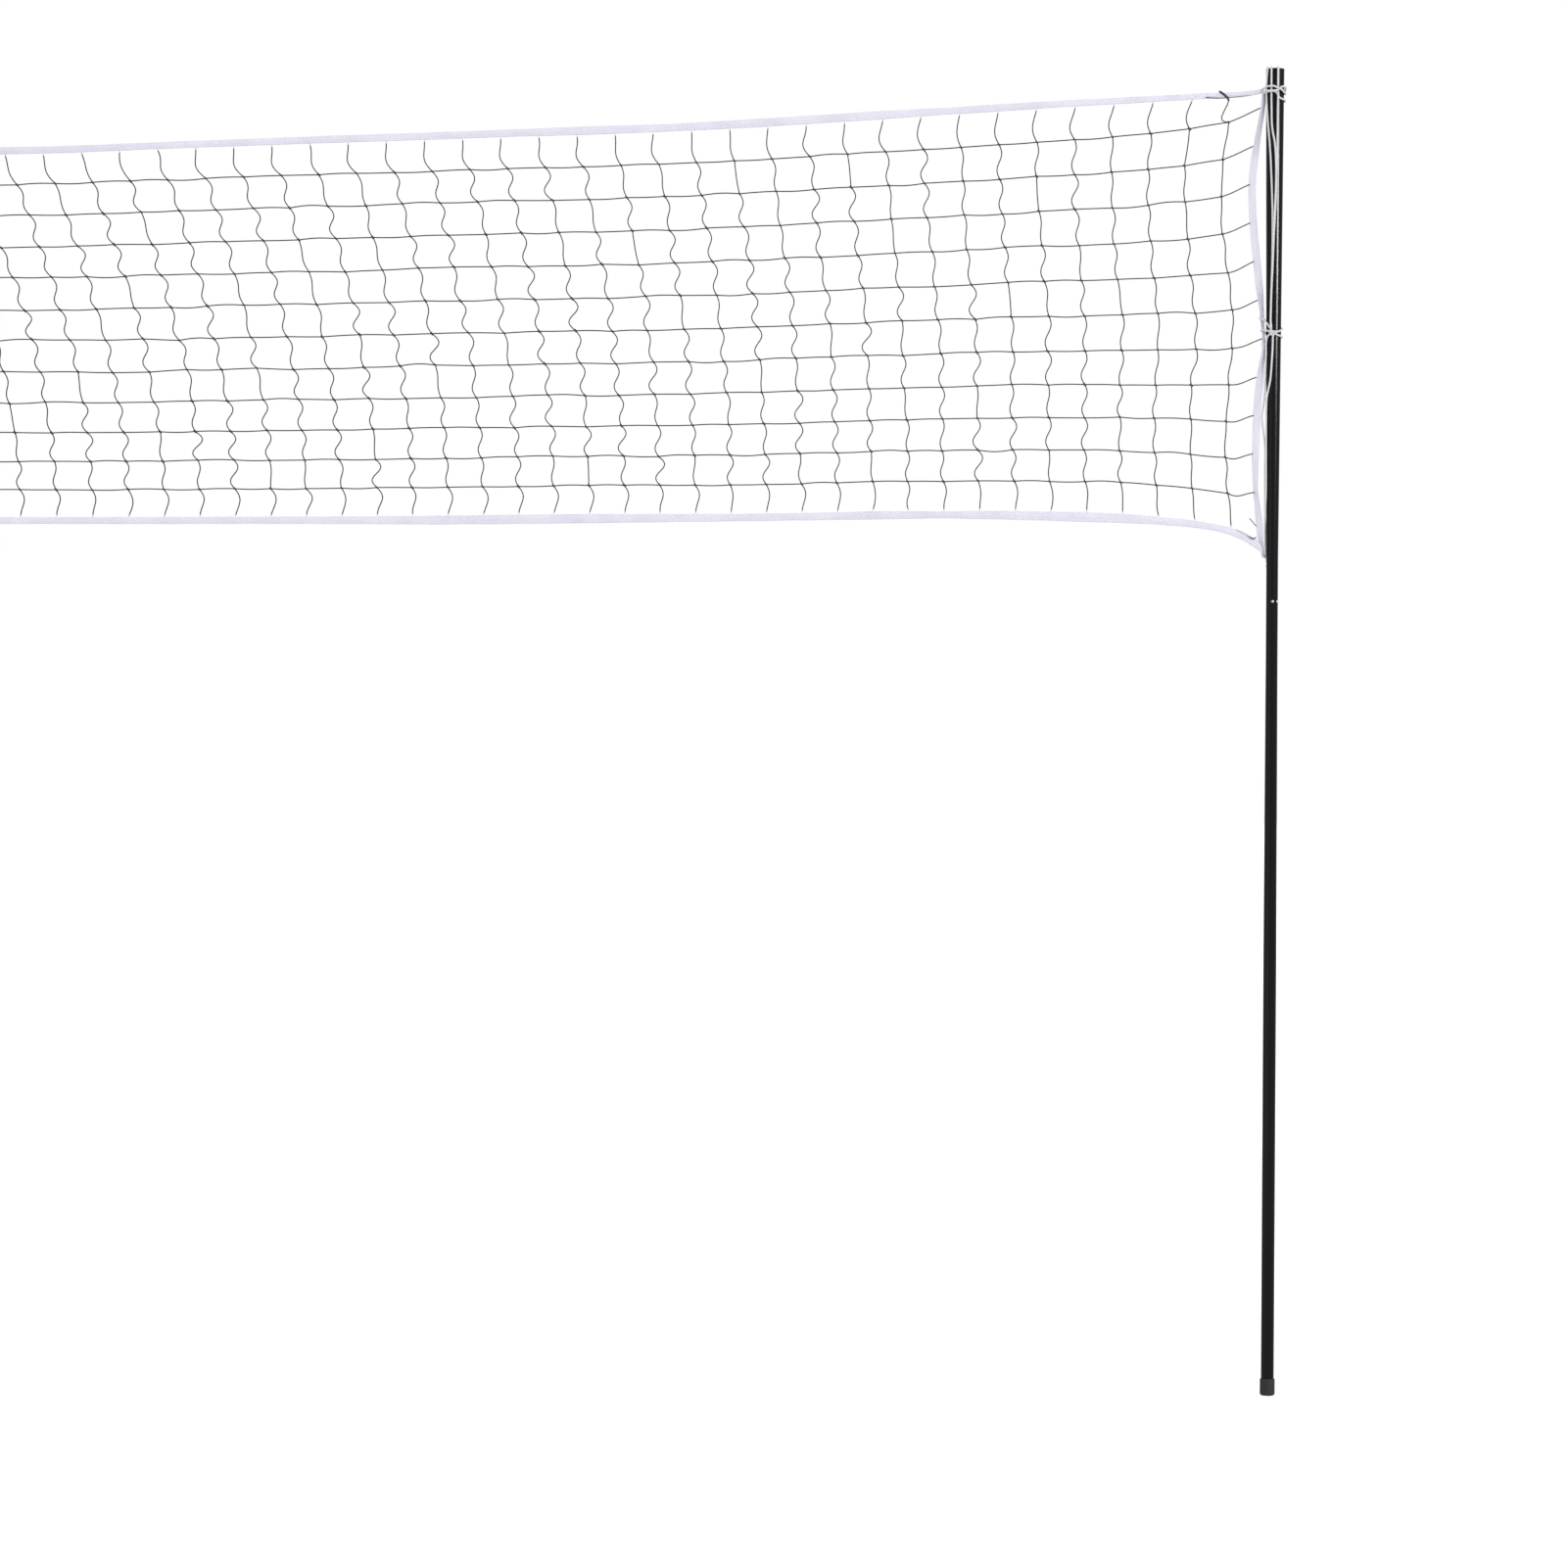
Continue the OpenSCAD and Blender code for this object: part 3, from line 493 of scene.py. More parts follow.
def folded_tape(name, line, rows, end, fold_up, seed):
    """Outer half width (1.3 + 0.8 exp(-(h / 2.6)^2)) sqrt((1 - s) / 0.16), the root at most 1, at
    height h, which is share s of the half height from the lips to the fold; the inner wall is
    0.5 mm in from it. Small puckers move both walls by tenths of a millimetre."""
    noise = np.random.default_rng(seed)
    # The rings are closer near the poles
    near_pole = 2400
    x = np.concatenate([
        np.linspace(-end, -near_pole, 130, endpoint=False),
        np.linspace(-near_pole, near_pole, 800, endpoint=False),
        np.linspace(near_pole, end, 131),
    ])
    half = tape_height(x, rows) / 2
    share = fold_share[None]
    height = half[:, None] * share
    near_fold = np.clip((1 - share) / 0.16, 0, 1) ** 0.5
    thick = (1.3 + 0.8 * np.exp(-((height / 2.6) ** 2))) * near_fold
    inside = np.maximum(thick - tape_cloth, 0.0)
    pucker = sum(
        noise.normal(0, 0.016 * length**0.5)
        * np.sin(x[:, None] / length + 6.28 * noise.random() + share * lean)
        for length, lean in ((3.1, 1.5), (4.7, -2.0), (7.9, 1.0), (13, 2.4), (29, -1.2), (53, 2.0))
    )
    pucker *= 1 - np.abs(share) ** 4 * 0.3
    # From the front lip over the fold to the back lip along the outside, then back along the inside
    inner_height = np.minimum(height, half[:, None] - tape_cloth)
    across = np.concatenate([
        -thick + pucker, thick[:, -2::-1] + pucker[:, -2::-1],
        inside[:, 1:-1] + pucker[:, 1:-1], -inside[:, -2:0:-1] + pucker[:, -2:0:-1],
    ], 1)
    up = np.concatenate([
        height, height[:, -2::-1], inner_height[:, 1:-1], inner_height[:, -2:0:-1]
    ], 1)
    # Lips of the inner wall stand at the same height as the outer ones
    across = np.insert(across, 2 * len(fold_share) - 1, inside[:, 0] + pucker[:, 0], axis=1)
    up = np.insert(up, 2 * len(fold_share) - 1, height[:, 0], axis=1)
    across = np.append(across, (-inside[:, 0] + pucker[:, 0])[:, None], 1)
    up = np.append(up, height[:, :1], 1)
    points = np.stack([
        np.broadcast_to(x[:, None], across.shape),
        tape_y(x)[:, None] + across,
        line(x)[:, None] + up * fold_up,
    ], -1) * 0.001
    middle_ring = np.stack([across, up], -1)[len(x) // 2]
    steps = np.linalg.norm(np.diff(middle_ring, axis=0), axis=1)
    return strip(name, points, x, np.concatenate([[0], np.cumsum(steps)]), fold_up > 0)


# Plain-woven polyester tape, 0.5 mm thread to thread. The threads are drawn as coarse as 0.7 mm
# so that they show. Pale lavender white, matt, with faint handling marks.
thread_spacing = 0.0007
woven_tape, tree = finish_named("woven_polyester_tape")
uv = add(tree, "ShaderNodeUVMap", uv_map="UVMap").outputs["UV"]
parts = add(tree, "ShaderNodeSeparateXYZ", {"Vector": uv}).outputs
threads = []
for way in ("X", "Y"):
    phase = add(
        tree, "ShaderNodeMath", {0: parts[way], 1: 2 * np.pi / thread_spacing},
        operation="MULTIPLY",
    )
    threads.append(add(tree, "ShaderNodeMath", {0: phase.outputs[0]}, operation="SINE").outputs[0])
weave = add(tree, "ShaderNodeMath", {0: threads[0], 1: threads[1]}, operation="MULTIPLY")
place = add(tree, "ShaderNodeTexCoord").outputs["Object"]
# Handling marks some centimetres across
marks = add(
    tree, "ShaderNodeTexNoise", {"Vector": place, "Scale": 22, "Detail": 4, "Roughness": 0.6}
).outputs["Fac"]
marked = add(tree, "ShaderNodeMapRange", {"Value": marks, "From Min": 0.35, "From Max": 0.72})
dye = add(
    tree, "ShaderNodeMix",
    {"Factor": marked.outputs[0], "A": linear("#dfdde9"), "B": linear("#d4d2e1")},
    data_type="RGBA",
)
# Painted shade of the weave: the colour is up to 3% darker where the threads dip under each other.
weave_painted_shade = add(
    tree, "ShaderNodeMapRange",
    {"Value": weave.outputs[0], "From Min": -1.0, "From Max": 1.0, "To Min": 0.97, "To Max": 1.0},
)
dyed = add(
    tree, "ShaderNodeVectorMath",
    {0: dye.outputs["Result"], "Scale": weave_painted_shade.outputs[0]}, operation="SCALE",
)
relief = add(
    tree, "ShaderNodeBump", {"Height": weave.outputs[0], "Strength": 0.12, "Distance": 0.0001}
)
cloth = add(
    tree, "ShaderNodeBsdfPrincipled",
    {
        "Base Color": dyed.outputs[0], "Roughness": 0.8, "Specular IOR Level": 0.25,
        "Sheen Weight": 0.15, "Normal": relief.outputs[0],
    },
)
add(tree, "ShaderNodeOutputMaterial", {"Surface": cloth.outputs[0]})

# Lashing thread: white polyester, with a slight silky gloss and painted shade in bands along its
# twist
lashing_thread, tree = finish_named("white_polyester_thread")
uv = add(tree, "ShaderNodeUVMap", uv_map="UVMap").outputs["UV"]
thread_size = add(tree, "ShaderNodeMapping", {"Vector": uv, "Scale": (2500, 2, 1)})
painted_twist_bands = add(
    tree, "ShaderNodeTexNoise", {"Vector": thread_size.outputs[0], "Scale": 1, "Detail": 2}
).outputs["Fac"]
# Painted shade of the twist: bands along the thread that move between two whites.
thread_white = add(
    tree, "ShaderNodeMix",
    {"Factor": painted_twist_bands, "A": linear("#e3e1ea"), "B": linear("#f6f5fa")},
    data_type="RGBA",
)
thread = add(
    tree, "ShaderNodeBsdfPrincipled",
    {"Base Color": thread_white.outputs["Result"], "Roughness": 0.5, "Specular IOR Level": 0.4},
)
add(tree, "ShaderNodeOutputMaterial", {"Surface": thread.outputs[0]})

top_tape = folded_tape("top_tape_folded", top_line, top_tape_rows, top_tape_end, 1, 11)
bottom_tape = folded_tape(
    "bottom_tape_folded", bottom_line, bottom_tape_rows, bottom_tape_end, -1, 12
)
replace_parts(top_tape, "top_tape")
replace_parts(bottom_tape, "bottom_tape")

# The head cord ends inside the tape where the top ties begin. The foot cord runs on out of the
# tape, behind the side tape, into the bottom knot.
cord_xs = np.linspace(-tape_end + 7, tape_end - 7, 700)
head_path = np.stack([cord_xs, tape_y(cord_xs), top_line(cord_xs)], 1) * 0.001
head_tube = tube(head_path, cord_radius / 1000, 10, (0, 1, 0))
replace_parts(skin("head_cord_laid", *head_tube, "cord", laid_cord), "head_cord")
foot_tail = np.array([
    [-12.0, 2.6, 1122.5], [-9.6, 6.2, 1118.8], [-6.9, 8.8, 1115], [-5.2, 9.9, 1111],
    [-4.4, 10.2, 1107.4],
]) + [pole_x, 0, 0]
foot_bend = 2745.5
foot_xs = np.concatenate([
    np.linspace(-foot_bend, -tape_end, 5),
    np.linspace(-2730, 2730, 700),
    np.linspace(tape_end, foot_bend, 5),
])
foot_path = np.vstack([
    foot_tail[::-1] * [-1, 1, 1],
    np.stack([foot_xs, tape_y(foot_xs), bottom_line(foot_xs)], 1),
    foot_tail,
])
foot_path = smooth(foot_path, 3) * 0.001
foot_tube = tube(foot_path, cord_radius / 1000, 12, (0, 1, 0))
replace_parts(skin("foot_cord_laid", *foot_tube, "cord", laid_cord), "foot_cord")

# ---- Side tapes ----
# The same tape, doubled along each short edge of the netting. It hangs beside the pole, bunched
# at the top corner, in the middle tie and at the bottom corner, and turns edge-on below.
net_drop = 609.6
tape_half = 5.0
# Share of the drop, distance from the pole's middle, half width that shows, half width of the tape
side_rows = np.array([
    [-0.003, 15.2, 1.4, 2.0], [0.004, 14.9, 1.5, 2.1], [0.011, 14.6, 1.7, 2.4],
    [0.022, 15.0, 2.2, 3.2], [0.06, 18.5, 3.4, 4.4], [0.12, 24.5, 4.2, 5.0],
    [0.19, 29.4, 4.5, 5.0], [0.25, 29.4, 4.9, 5.0], [0.31, 27, 5.0, 5.0], [0.4, 21.2, 4.7, 5.0],
    [0.45, 18.0, 4.0, 4.8], [0.485, 15.8, 3.2, 4.2], [0.51, 14.6, 2.6, 3.0],
    [0.53, 13.2, 2.0, 2.4], [0.55, 13.1, 2.0, 2.6], [0.57, 13.4, 2.2, 3.2],
    [0.6, 16.2, 3.2, 4.4], [0.64, 18.6, 4.3, 5.0], [0.68, 20.8, 4.7, 5.0],
    [0.72, 22.1, 5.0, 5.0], [0.76, 22.6, 4.9, 5.0], [0.8, 23.2, 4.3, 5.0],
    [0.83, 23.2, 3.6, 5.0], [0.87, 22.8, 2.2, 4.9], [0.9, 20.6, 3.0, 5.0],
    [0.94, 17.9, 4.1, 5.0], [0.97, 16.2, 3.8, 4.6], [0.99, 14.4, 3.3, 3.9],
    [1.003, 12.9, 2.5, 3.1], [1.012, 11.9, 1.7, 2.3], [1.02, 11.0, 1.0, 1.6],
])
side_heights = top_corner_z - side_rows[:, 0] * net_drop


def side_value(z, column):
    """A value of the side tape at a height, between its rows."""
    return np.interp(z, side_heights[::-1], side_rows[::-1, column])


def side_tape(side_name, side):
    """Across the tape, place w s for s from -1 to 1, with 0.45 mm of cloth to each side. The tape
    is turned by 0.9 arccos(shown / real width), towards the pole where it is tied and away from
    it between. Where it is bunched its slack goes into pleats a sin(3.5 pi s)."""
    curve = smooth(np.stack([side_rows[:, 1], 0 * side_heights, side_heights], 1), 2.2)
    u, z = curve[:, 0], curve[:, 2]
    shown, real = side_value(z, 2), side_value(z, 3)
    drop = (top_corner_z - z) / net_drop
    way = np.interp(drop, [0.12, 0.2, 0.39, 0.46, 0.6, 0.68], [-1, 1, 1, -1, -1, 1])
    turned = np.arccos(np.clip(shown / real, 0, 1)) * 0.9 * way
    s = np.linspace(-1, 1, 21)[None]
    slack = np.clip(1 - real / tape_half, 0, 1)[:, None]
    pleat = 1.5 * slack**0.6 * np.sin(3.5 * np.pi * s + z[:, None] / 19)
    cup = 0.55 * np.cos(np.pi * s / 2) * np.sin(z[:, None] / 37 + side)
    ripple = 0.18 * np.sin(z[:, None] / 4.3 + 2 * s) * (0.4 + slack)
    across = real[:, None] * s
    rise = pleat + cup + ripple
    cosine, sine = np.cos(turned)[:, None], np.sin(turned)[:, None]
    # It passes behind the ends of the top tape and of the bottom tape
    back = 2.9 * np.clip((z - 1712) / 14, 0, 1) + 3.1 * np.clip((1152 - z) / 16, 0, 1)
    back = back + 3.0 * np.clip((1120 - z) / 9, 0, 1)
    walls = []
    for half_cloth in (-0.45, 0.45):
        edge = half_cloth * (1 - s**12 * 0.6)
        x = -(u[:, None] + across * cosine) + (rise + edge) * sine
        y = back[:, None] + across * sine + (rise + edge) * cosine
        walls.append(np.stack([x, y, np.broadcast_to(z[:, None], x.shape)], -1))
    points = at_pole(np.concatenate([walls[0], walls[1][:, ::-1]], 1), side)
    across_uv = np.concatenate([s[0], s[0][::-1]]) * tape_half
    return strip(f"{side_name}_side_tape_hung", points, z, across_uv, side < 0)


for side_name, side in sides_of_net.items():
    piece = side_tape(side_name, side)
    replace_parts(piece, f"{side_name}_side_tape")

# ---- Netting ----
# Black polyethylene twine, 1.7 mm thick, knotted into squares of 50.8 mm: 108 along the net and
# 12 down. Slack strands lean and wave. Thread lashes those down to the tapes' lips, and those
# across end in the side tapes.
columns, rows_down = 108, 12
pitch = 50.8
twine_radius = 0.86
random = np.random.default_rng(745)


def net_knots():
    """Knot (k, j) counted from the right side tape and the top tape. Its x is the even spacing,
    plus a lean that grows down the net, plus the side tape's bow fading over five columns. Its
    height is a share of the drop between the tapes, a little lower than even in mid height and
    higher in the first columns by each pole."""
    k = np.arange(columns + 1)[:, None].astype(float)
    j = np.arange(rows_down + 1)[None].astype(float)
    near = np.minimum(k, columns - k)
    right = k <= columns / 2
    v = j / rows_down + 0.02 * np.sin(np.pi * (j / rows_down) ** 1.6)
    rise = 0.028 * (1 - 0.45 * v - 0.75 * v**5) * np.exp(-np.maximum(near - 1, 0) / 1.6)
    v = v - rise * (j > 0) * (j < rows_down)
    lean = 130 * np.sin(np.pi * k / columns)
    lean = lean + 15 * (np.exp(-(((k - 38) / 14) ** 2)) + 0.5 * np.exp(-(((k - 75) / 12) ** 2)))
    rough_z = 1733 - v * 590
    bow = (24 - side_value(rough_z, 1)) * np.exp(-np.maximum(near - 1, 0) / 5.2)
    x = half_span - pitch * k + lean * np.sin(np.pi * v / 2)
    x = x + np.where(right, bow, -bow)
    x = np.clip(x, -tape_end + 6, tape_end - 6)
    top = top_line(x) - tape_height(x, top_tape_rows) / 2
    bottom = bottom_line(x) + tape_height(x, bottom_tape_rows) / 2
    x = x + (v * (1 - v) * 4) * random.normal(0, 1.0, x.shape)
    z = top - v * (top - bottom) + (v * (1 - v) * 4) * random.normal(0, 0.8, x.shape)
    y = tape_y(x) + np.sin(np.pi * v) * (3.2 * np.sin(x / 97 + 0.7) + 1.6 * np.sin(x / 41 + 5 * v))
    return x, y, z


net_x, net_y, net_z = net_knots()
# At the side tapes the strands across climb to meet the tape
edge_z = 1716.7 - 51.3 * (np.arange(rows_down + 1) - 1)
edge_u = side_value(edge_z, 1) + side_value(edge_z, 2) - 0.5
for k, side in ((0, 1), (columns, -1)):
    net_x[k] = side * (pole_x - edge_u)
    net_y[k] = 0
    net_z[k] = edge_z


def strands_of(knots_at, per_mesh, wave):
    """Paths from knot to knot, straight, plus wave(t) at share t of each mesh."""
    lines, count, _ = knots_at.shape
    t = np.arange(per_mesh) / per_mesh
    low, high = knots_at[:, :-1, None], knots_at[:, 1:, None]
    path = low + (high - low) * t[None, None, :, None] + wave(t, lines, count - 1)
    return np.concatenate([path.reshape(lines, -1, 3), knots_at[:, -1:]], 1)


def down_wave(t, lines, meshes):
    """Sideways: A sin 2 pi t + B sin pi t, an S and a bow in each mesh, with more bow at the two
    ends where the twine hangs out of the tape."""
    k = np.arange(1, columns)[:, None]
    mesh = np.arange(meshes)[None]
    near = np.minimum(k, columns - k)
    slack = 1 - np.exp(-near / 5)
    swing = (0.4 + 3.3 * slack) * np.clip(random.normal(1, 0.45, (lines, meshes)), 0.05, 2.0)
    swing = np.where((mesh == 0) | (mesh == meshes - 1), 0.35 * swing, swing)
    bow = random.normal(0, 1.0, (lines, meshes)) * (0.4 + 0.6 * slack)
    bow = np.where(mesh == 0, -4.6 - 1.4 * np.exp(-near / 8) + 1.5 * bow, bow)
    bow = np.where(mesh == meshes - 1, 5.2 * slack**2 + 1.2 * bow, bow)
    wave = np.zeros((lines, meshes, len(t), 3))
    wave[..., 0] = swing[..., None] * np.sin(2 * np.pi * t) + bow[..., None] * np.sin(np.pi * t)
    wave[..., 1] = random.normal(0, 0.8, (lines, meshes))[..., None] * np.sin(np.pi * t)
    return wave


def across_wave(t, lines, meshes):
    """Up and down by some tenths of a millimetre in each mesh. The last mesh by a side tape sags
    by A sin pi t, the more the lower it is, and most of it near the knot."""
    wave = np.zeros((lines, meshes, len(t), 3))
    wave[..., 2] = random.normal(0, 0.7, (lines, meshes))[..., None] * np.sin(np.pi * t)
    sag = 0.6 + 2.9 * np.linspace(0, 1, lines)[:, None] ** 1.3
    for mesh, way in ((0, 1), (meshes - 1, -1)):
        wave[:, mesh, :, 2] = sag * (0.35 * way * np.sin(2 * np.pi * t) - np.sin(np.pi * t))
    wave[..., 1] = random.normal(0, 0.6, (lines, meshes))[..., None] * np.sin(np.pi * t)
    return wave


# Netting twine: black polyethylene, twisted, with a dull gloss, and greyer where it is worn
net_twine, tree = finish_named("black_polyethylene_twine")
crest = twist(tree, 0.004)[2]
place = add(tree, "ShaderNodeTexCoord").outputs["Object"]
wear = add(tree, "ShaderNodeTexNoise", {"Vector": place, "Scale": 60, "Detail": 3}).outputs["Fac"]
plastic_grey = add(
    tree, "ShaderNodeMix",
    {"Factor": wear, "A": linear("#101012"), "B": linear("#232327")},
    data_type="RGBA",
)
relief = add(tree, "ShaderNodeBump", {"Height": crest, "Strength": 0.6, "Distance": 0.0002})
plastic = add(
    tree, "ShaderNodeBsdfPrincipled",
    {
        "Base Color": plastic_grey.outputs["Result"], "Roughness": 0.55,
        "Specular IOR Level": 0.3, "Normal": relief.outputs[0],
    },
)
add(tree, "ShaderNodeOutputMaterial", {"Surface": plastic.outputs[0]})

knots_at = np.stack([net_x, net_y, net_z], -1)
# The strands down end 1.5 mm short of each tape, where white thread lashes them to it
down_knots = knots_at[1:-1].copy()
down_knots[:, 0, 2] -= 1.5
down_knots[:, -1, 2] += 1.5
per_mesh = 12
down_paths = strands_of(down_knots, per_mesh, down_wave) * 0.001
# The outermost strand starts as a doubled end that lies over the front of the top tape. Rows of
# distance from the pole's middle, distance in front and height, down to its first knot.
loose_end = np.array([
    [75.2, 2.9, 1737.6], [68.7, 2.9, 1733.1], [64.1, 2.7, 1728.5], [62.2, 1.8, 1724.6],
    [67.4, 0.6, 1712.8], [71.3, 0.2, 1702.4], [69.6, 0, 1698.4],
])
# A thinner end runs along the lower edge of the top tape, and two short ones hang at the bottom
# corner: one on the side tape and one on the bottom tape
short_ends = [
    [[92.2, 2.6, 1729.4], [80.4, 2.7, 1728.5], [64.8, 3.4, 1728.9], [47.8, 2.7, 1731.0],
     [32.1, 2.7, 1732.6]],
    [[31, 0.6, 1168.7], [28.6, 0.5, 1166.8], [26.0, 0.2, 1163.6], [23.4, -0.1, 1160.6],
     [21.4, -0.2, 1158.6]],
    [[48.2, 2.5, 1153.9], [38.5, 2.8, 1148.6], [29.2, 2.9, 1142.9], [26.2, 2.9, 1141.8],
     [21.8, 3.0, 1143.6]],
]
# Thick at the first end, thick at the last, and as thin as a single yarn between, in millimetres
end_radii = [[0.75, 0.25], [0.65, 0.65], [0.2, 0.2, 0.2, 0.8, 0.8], [0.75, 0.75]]


def thinned(route, count):
    """That many of a route's points, evenly spaced from its first to its last."""
    return route[np.linspace(0, len(route) - 1, count).round().astype(int)]


for k, side in ((0, 1), (columns - 2, -1)):
    first_knot = down_paths[k, per_mesh] * 1000 * [side, 1, 1] - [pole_x, 0, 0]
    route = smooth(np.vstack([loose_end * [-1, -1, 1], first_knot]), 0.25)
    down_paths[k, : per_mesh + 1] = at_pole(thinned(route, per_mesh + 1), side)
across_paths = strands_of(knots_at[:, 1:-1].transpose(1, 0, 2), 6, across_wave) * 0.001
for name, paths in (("netting_strands_down", down_paths), ("netting_strands_across", across_paths)):
    piece = skin(name, *tube(paths, twine_radius / 1000, 6, (0, 1, 0)), "twine", net_twine)
    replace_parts(piece, "netting")


def loose_ends(side_name, side):
    """The short ends of twine by one pole, each a closed tube with as many rings as the others."""
    rings = 36
    routes = [smooth(np.array(rows) * [-1, -1, 1], 0.4) for rows in short_ends]
    routes.append(smooth(loose_end[:4] * [-1, -1, 1] + [1.1, 0.1, 0.9], 0.4))
    paths = np.stack([at_pole(thinned(route, rings), side) for route in routes])
    radii = np.stack([
        np.interp(np.linspace(0, 1, rings), np.linspace(0, 1, len(row)), row) for row in end_radii
    ])
    ends = tube(paths, radii[..., None] / 1000, 6, (0, 1, 0))
    skin(f"{side_name}_loose_twine_ends", *ends, "twine", net_twine)


for side_name, side in sides_of_net.items():
    loose_ends(side_name, side)


def lashings():
    """White thread at each strand's top and bottom end: two thin loops from between the tape's
    lips down over the twine's last 2 mm, one to each side of it. The outermost strands have none
    at the top, where their ends are loose."""
    thread_radius = 0.28
    paths = []
    for end, way in ((0, 1), (-1, -1)):
        tip = down_knots[:, end] if end else down_knots[1:-1, end]
        for beside in (-0.55, 0.55):
            steps = np.array([
                [0.3, -0.2, 3.6], [0.9, -0.6, 1.8], [1.0, -0.95, 0.2], [0.9, -0.95, -1.2],
                [0, -1.0, -2.0],
            ])
            for front in (1, -1):
                paths.append(tip[:, None] + steps * [beside, front, way])
    return tube(np.concatenate(paths) * 0.001, thread_radius / 1000, 5, (0.02, 1, 0.03))


skin("netting_lashings", *lashings(), "tape", lashing_thread)


def twine_knots(centres):
    """Every knot at once: six rings of eight points, widest towards its two ends, with a waist
    where the two strands' loops meet. It lies from upper left to lower right."""
    around = 8
    place_along = np.array([-2.4, -1.6, -0.55, 0.55, 1.6, 2.4])
    ring = np.array([0.8, 1.6, 1.35, 1.35, 1.6, 0.8])
    angle = 2 * np.pi * np.arange(around) / around
    lengthwise = np.array([1, 0, -1]) / np.sqrt(2)
    upward = np.array([1, 0, 1]) / np.sqrt(2)
    forward = np.array([0, -1, 0])
    shape = (
        place_along[:, None, None] * lengthwise
        + (ring[:, None] * np.cos(angle))[..., None] * upward
        + (ring[:, None] * np.sin(angle))[..., None] * forward
    )
    size = random.uniform(0.85, 1.12, len(centres))[:, None, None, None]
    points = centres[:, None, None] + shape[None] * size
    quads, bottoms, tops = ring_faces(len(centres), len(ring), around)
    quad_uv = np.zeros((len(quads), 8)) + [0, 0, 0, 0.125, 0.001, 0.125, 0.001, 0]
    end_uv = np.zeros((len(centres), around, 2))
    return points.reshape(-1, 3) * 0.001, [quads, bottoms, tops], [quad_uv, end_uv, end_uv]


loose_knots = np.array([[64.4, 2.9, 1729.0]]) * [-1, -1, 1] + [pole_x, 0, 0]
centres = [knots_at[1:-1, 1:-1].reshape(-1, 3), loose_knots, loose_knots * [-1, 1, 1]]
tied = twine_knots(np.concatenate(centres))
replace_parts(skin("netting_knots", *tied, "twine", net_twine), "netting")

# ---- Poles, spigots and rivets ----
# Three thin steel tubes with a black powder coat, joined by zinc-plated sleeves that are held with
# aluminium blind rivets. They are the frame's own solids, with their finishes here.

# Black powder coat: smooth and fairly glossy, with a faint orange peel of melted powder, about
# 1 mm across, and slightly duller along the pole where it is handled
powder_coat, tree = finish_named("black_powder_coat")
place = add(tree, "ShaderNodeTexCoord").outputs["Object"]
peel = add(tree, "ShaderNodeTexNoise", {"Vector": place, "Scale": 900, "Detail": 2}).outputs["Fac"]
scuff_size = add(tree, "ShaderNodeMapping", {"Vector": place, "Scale": (90, 90, 9)})
scuffs = add(
    tree, "ShaderNodeTexNoise", {"Vector": scuff_size.outputs[0], "Scale": 1, "Detail": 2}
).outputs["Fac"]
scuff_rough = add(
    tree, "ShaderNodeMapRange",
    {"Value": scuffs, "From Min": 0.35, "From Max": 0.7, "To Min": 0.17, "To Max": 0.19},
)
relief = add(tree, "ShaderNodeBump", {"Height": peel, "Strength": 0.015, "Distance": 0.0003})
coat = add(
    tree, "ShaderNodeBsdfPrincipled",
    {
        "Base Color": linear("#131315"), "Roughness": scuff_rough.outputs[0],
        "Specular IOR Level": 0.06, "Normal": relief.outputs[0],
    },
)
add(tree, "ShaderNodeOutputMaterial", {"Surface": coat.outputs[0]})

# Zinc-plated steel, dull and a little blue-grey, with fine drawing lines along the sleeve
zinc_plate, tree = finish_named("zinc_plated_steel")
place = add(tree, "ShaderNodeTexCoord").outputs["Object"]
line_size = add(tree, "ShaderNodeMapping", {"Vector": place, "Scale": (2500, 2500, 40)})
lines = add(
    tree, "ShaderNodeTexNoise", {"Vector": line_size.outputs[0], "Scale": 1, "Detail": 3}
).outputs["Fac"]
zinc_rough = add(
    tree, "ShaderNodeMapRange",
    {"Value": lines, "From Min": 0.3, "From Max": 0.7, "To Min": 0.3, "To Max": 0.48},
)
zinc = add(
    tree, "ShaderNodeBsdfPrincipled",
    {"Base Color": linear("#74777c"), "Metallic": 1.0, "Roughness": zinc_rough.outputs[0]},
)
add(tree, "ShaderNodeOutputMaterial", {"Surface": zinc.outputs[0]})

# Aluminium rivets: tumbled, then dulled by weather, so a soft mottled grey
rivet_metal, tree = finish_named("tumbled_aluminium")
place = add(tree, "ShaderNodeTexCoord").outputs["Object"]
mottle = add(
    tree, "ShaderNodeTexNoise", {"Vector": place, "Scale": 1600, "Detail": 2}
).outputs["Fac"]
mottle_rough = add(
    tree, "ShaderNodeMapRange",
    {"Value": mottle, "From Min": 0.3, "From Max": 0.7, "To Min": 0.3, "To Max": 0.5},
)
aluminium = add(
    tree, "ShaderNodeBsdfPrincipled",
    {"Base Color": linear("#86878a"), "Metallic": 1.0, "Roughness": mottle_rough.outputs[0]},
)
add(tree, "ShaderNodeOutputMaterial", {"Surface": aluminium.outputs[0]})

# ---- Foot caps ----
# A cup of moulded black rubber on each pole's bottom end, pushed over the lower tube. It is matt,
# with the fine grain of a spark-eroded mould.
cap_rubber, tree = finish_named("moulded_black_rubber")
place = add(tree, "ShaderNodeTexCoord").outputs["Object"]
grain = add(
    tree, "ShaderNodeTexNoise", {"Vector": place, "Scale": 1400, "Detail": 3}
).outputs["Fac"]
dust = add(tree, "ShaderNodeTexNoise", {"Vector": place, "Scale": 120, "Detail": 4}).outputs["Fac"]
rubber_grey = add(
    tree, "ShaderNodeMix",
    {"Factor": dust, "A": linear("#101011"), "B": linear("#1d1d1e")},
    data_type="RGBA",
)
relief = add(tree, "ShaderNodeBump", {"Height": grain, "Strength": 0.3, "Distance": 0.0003})
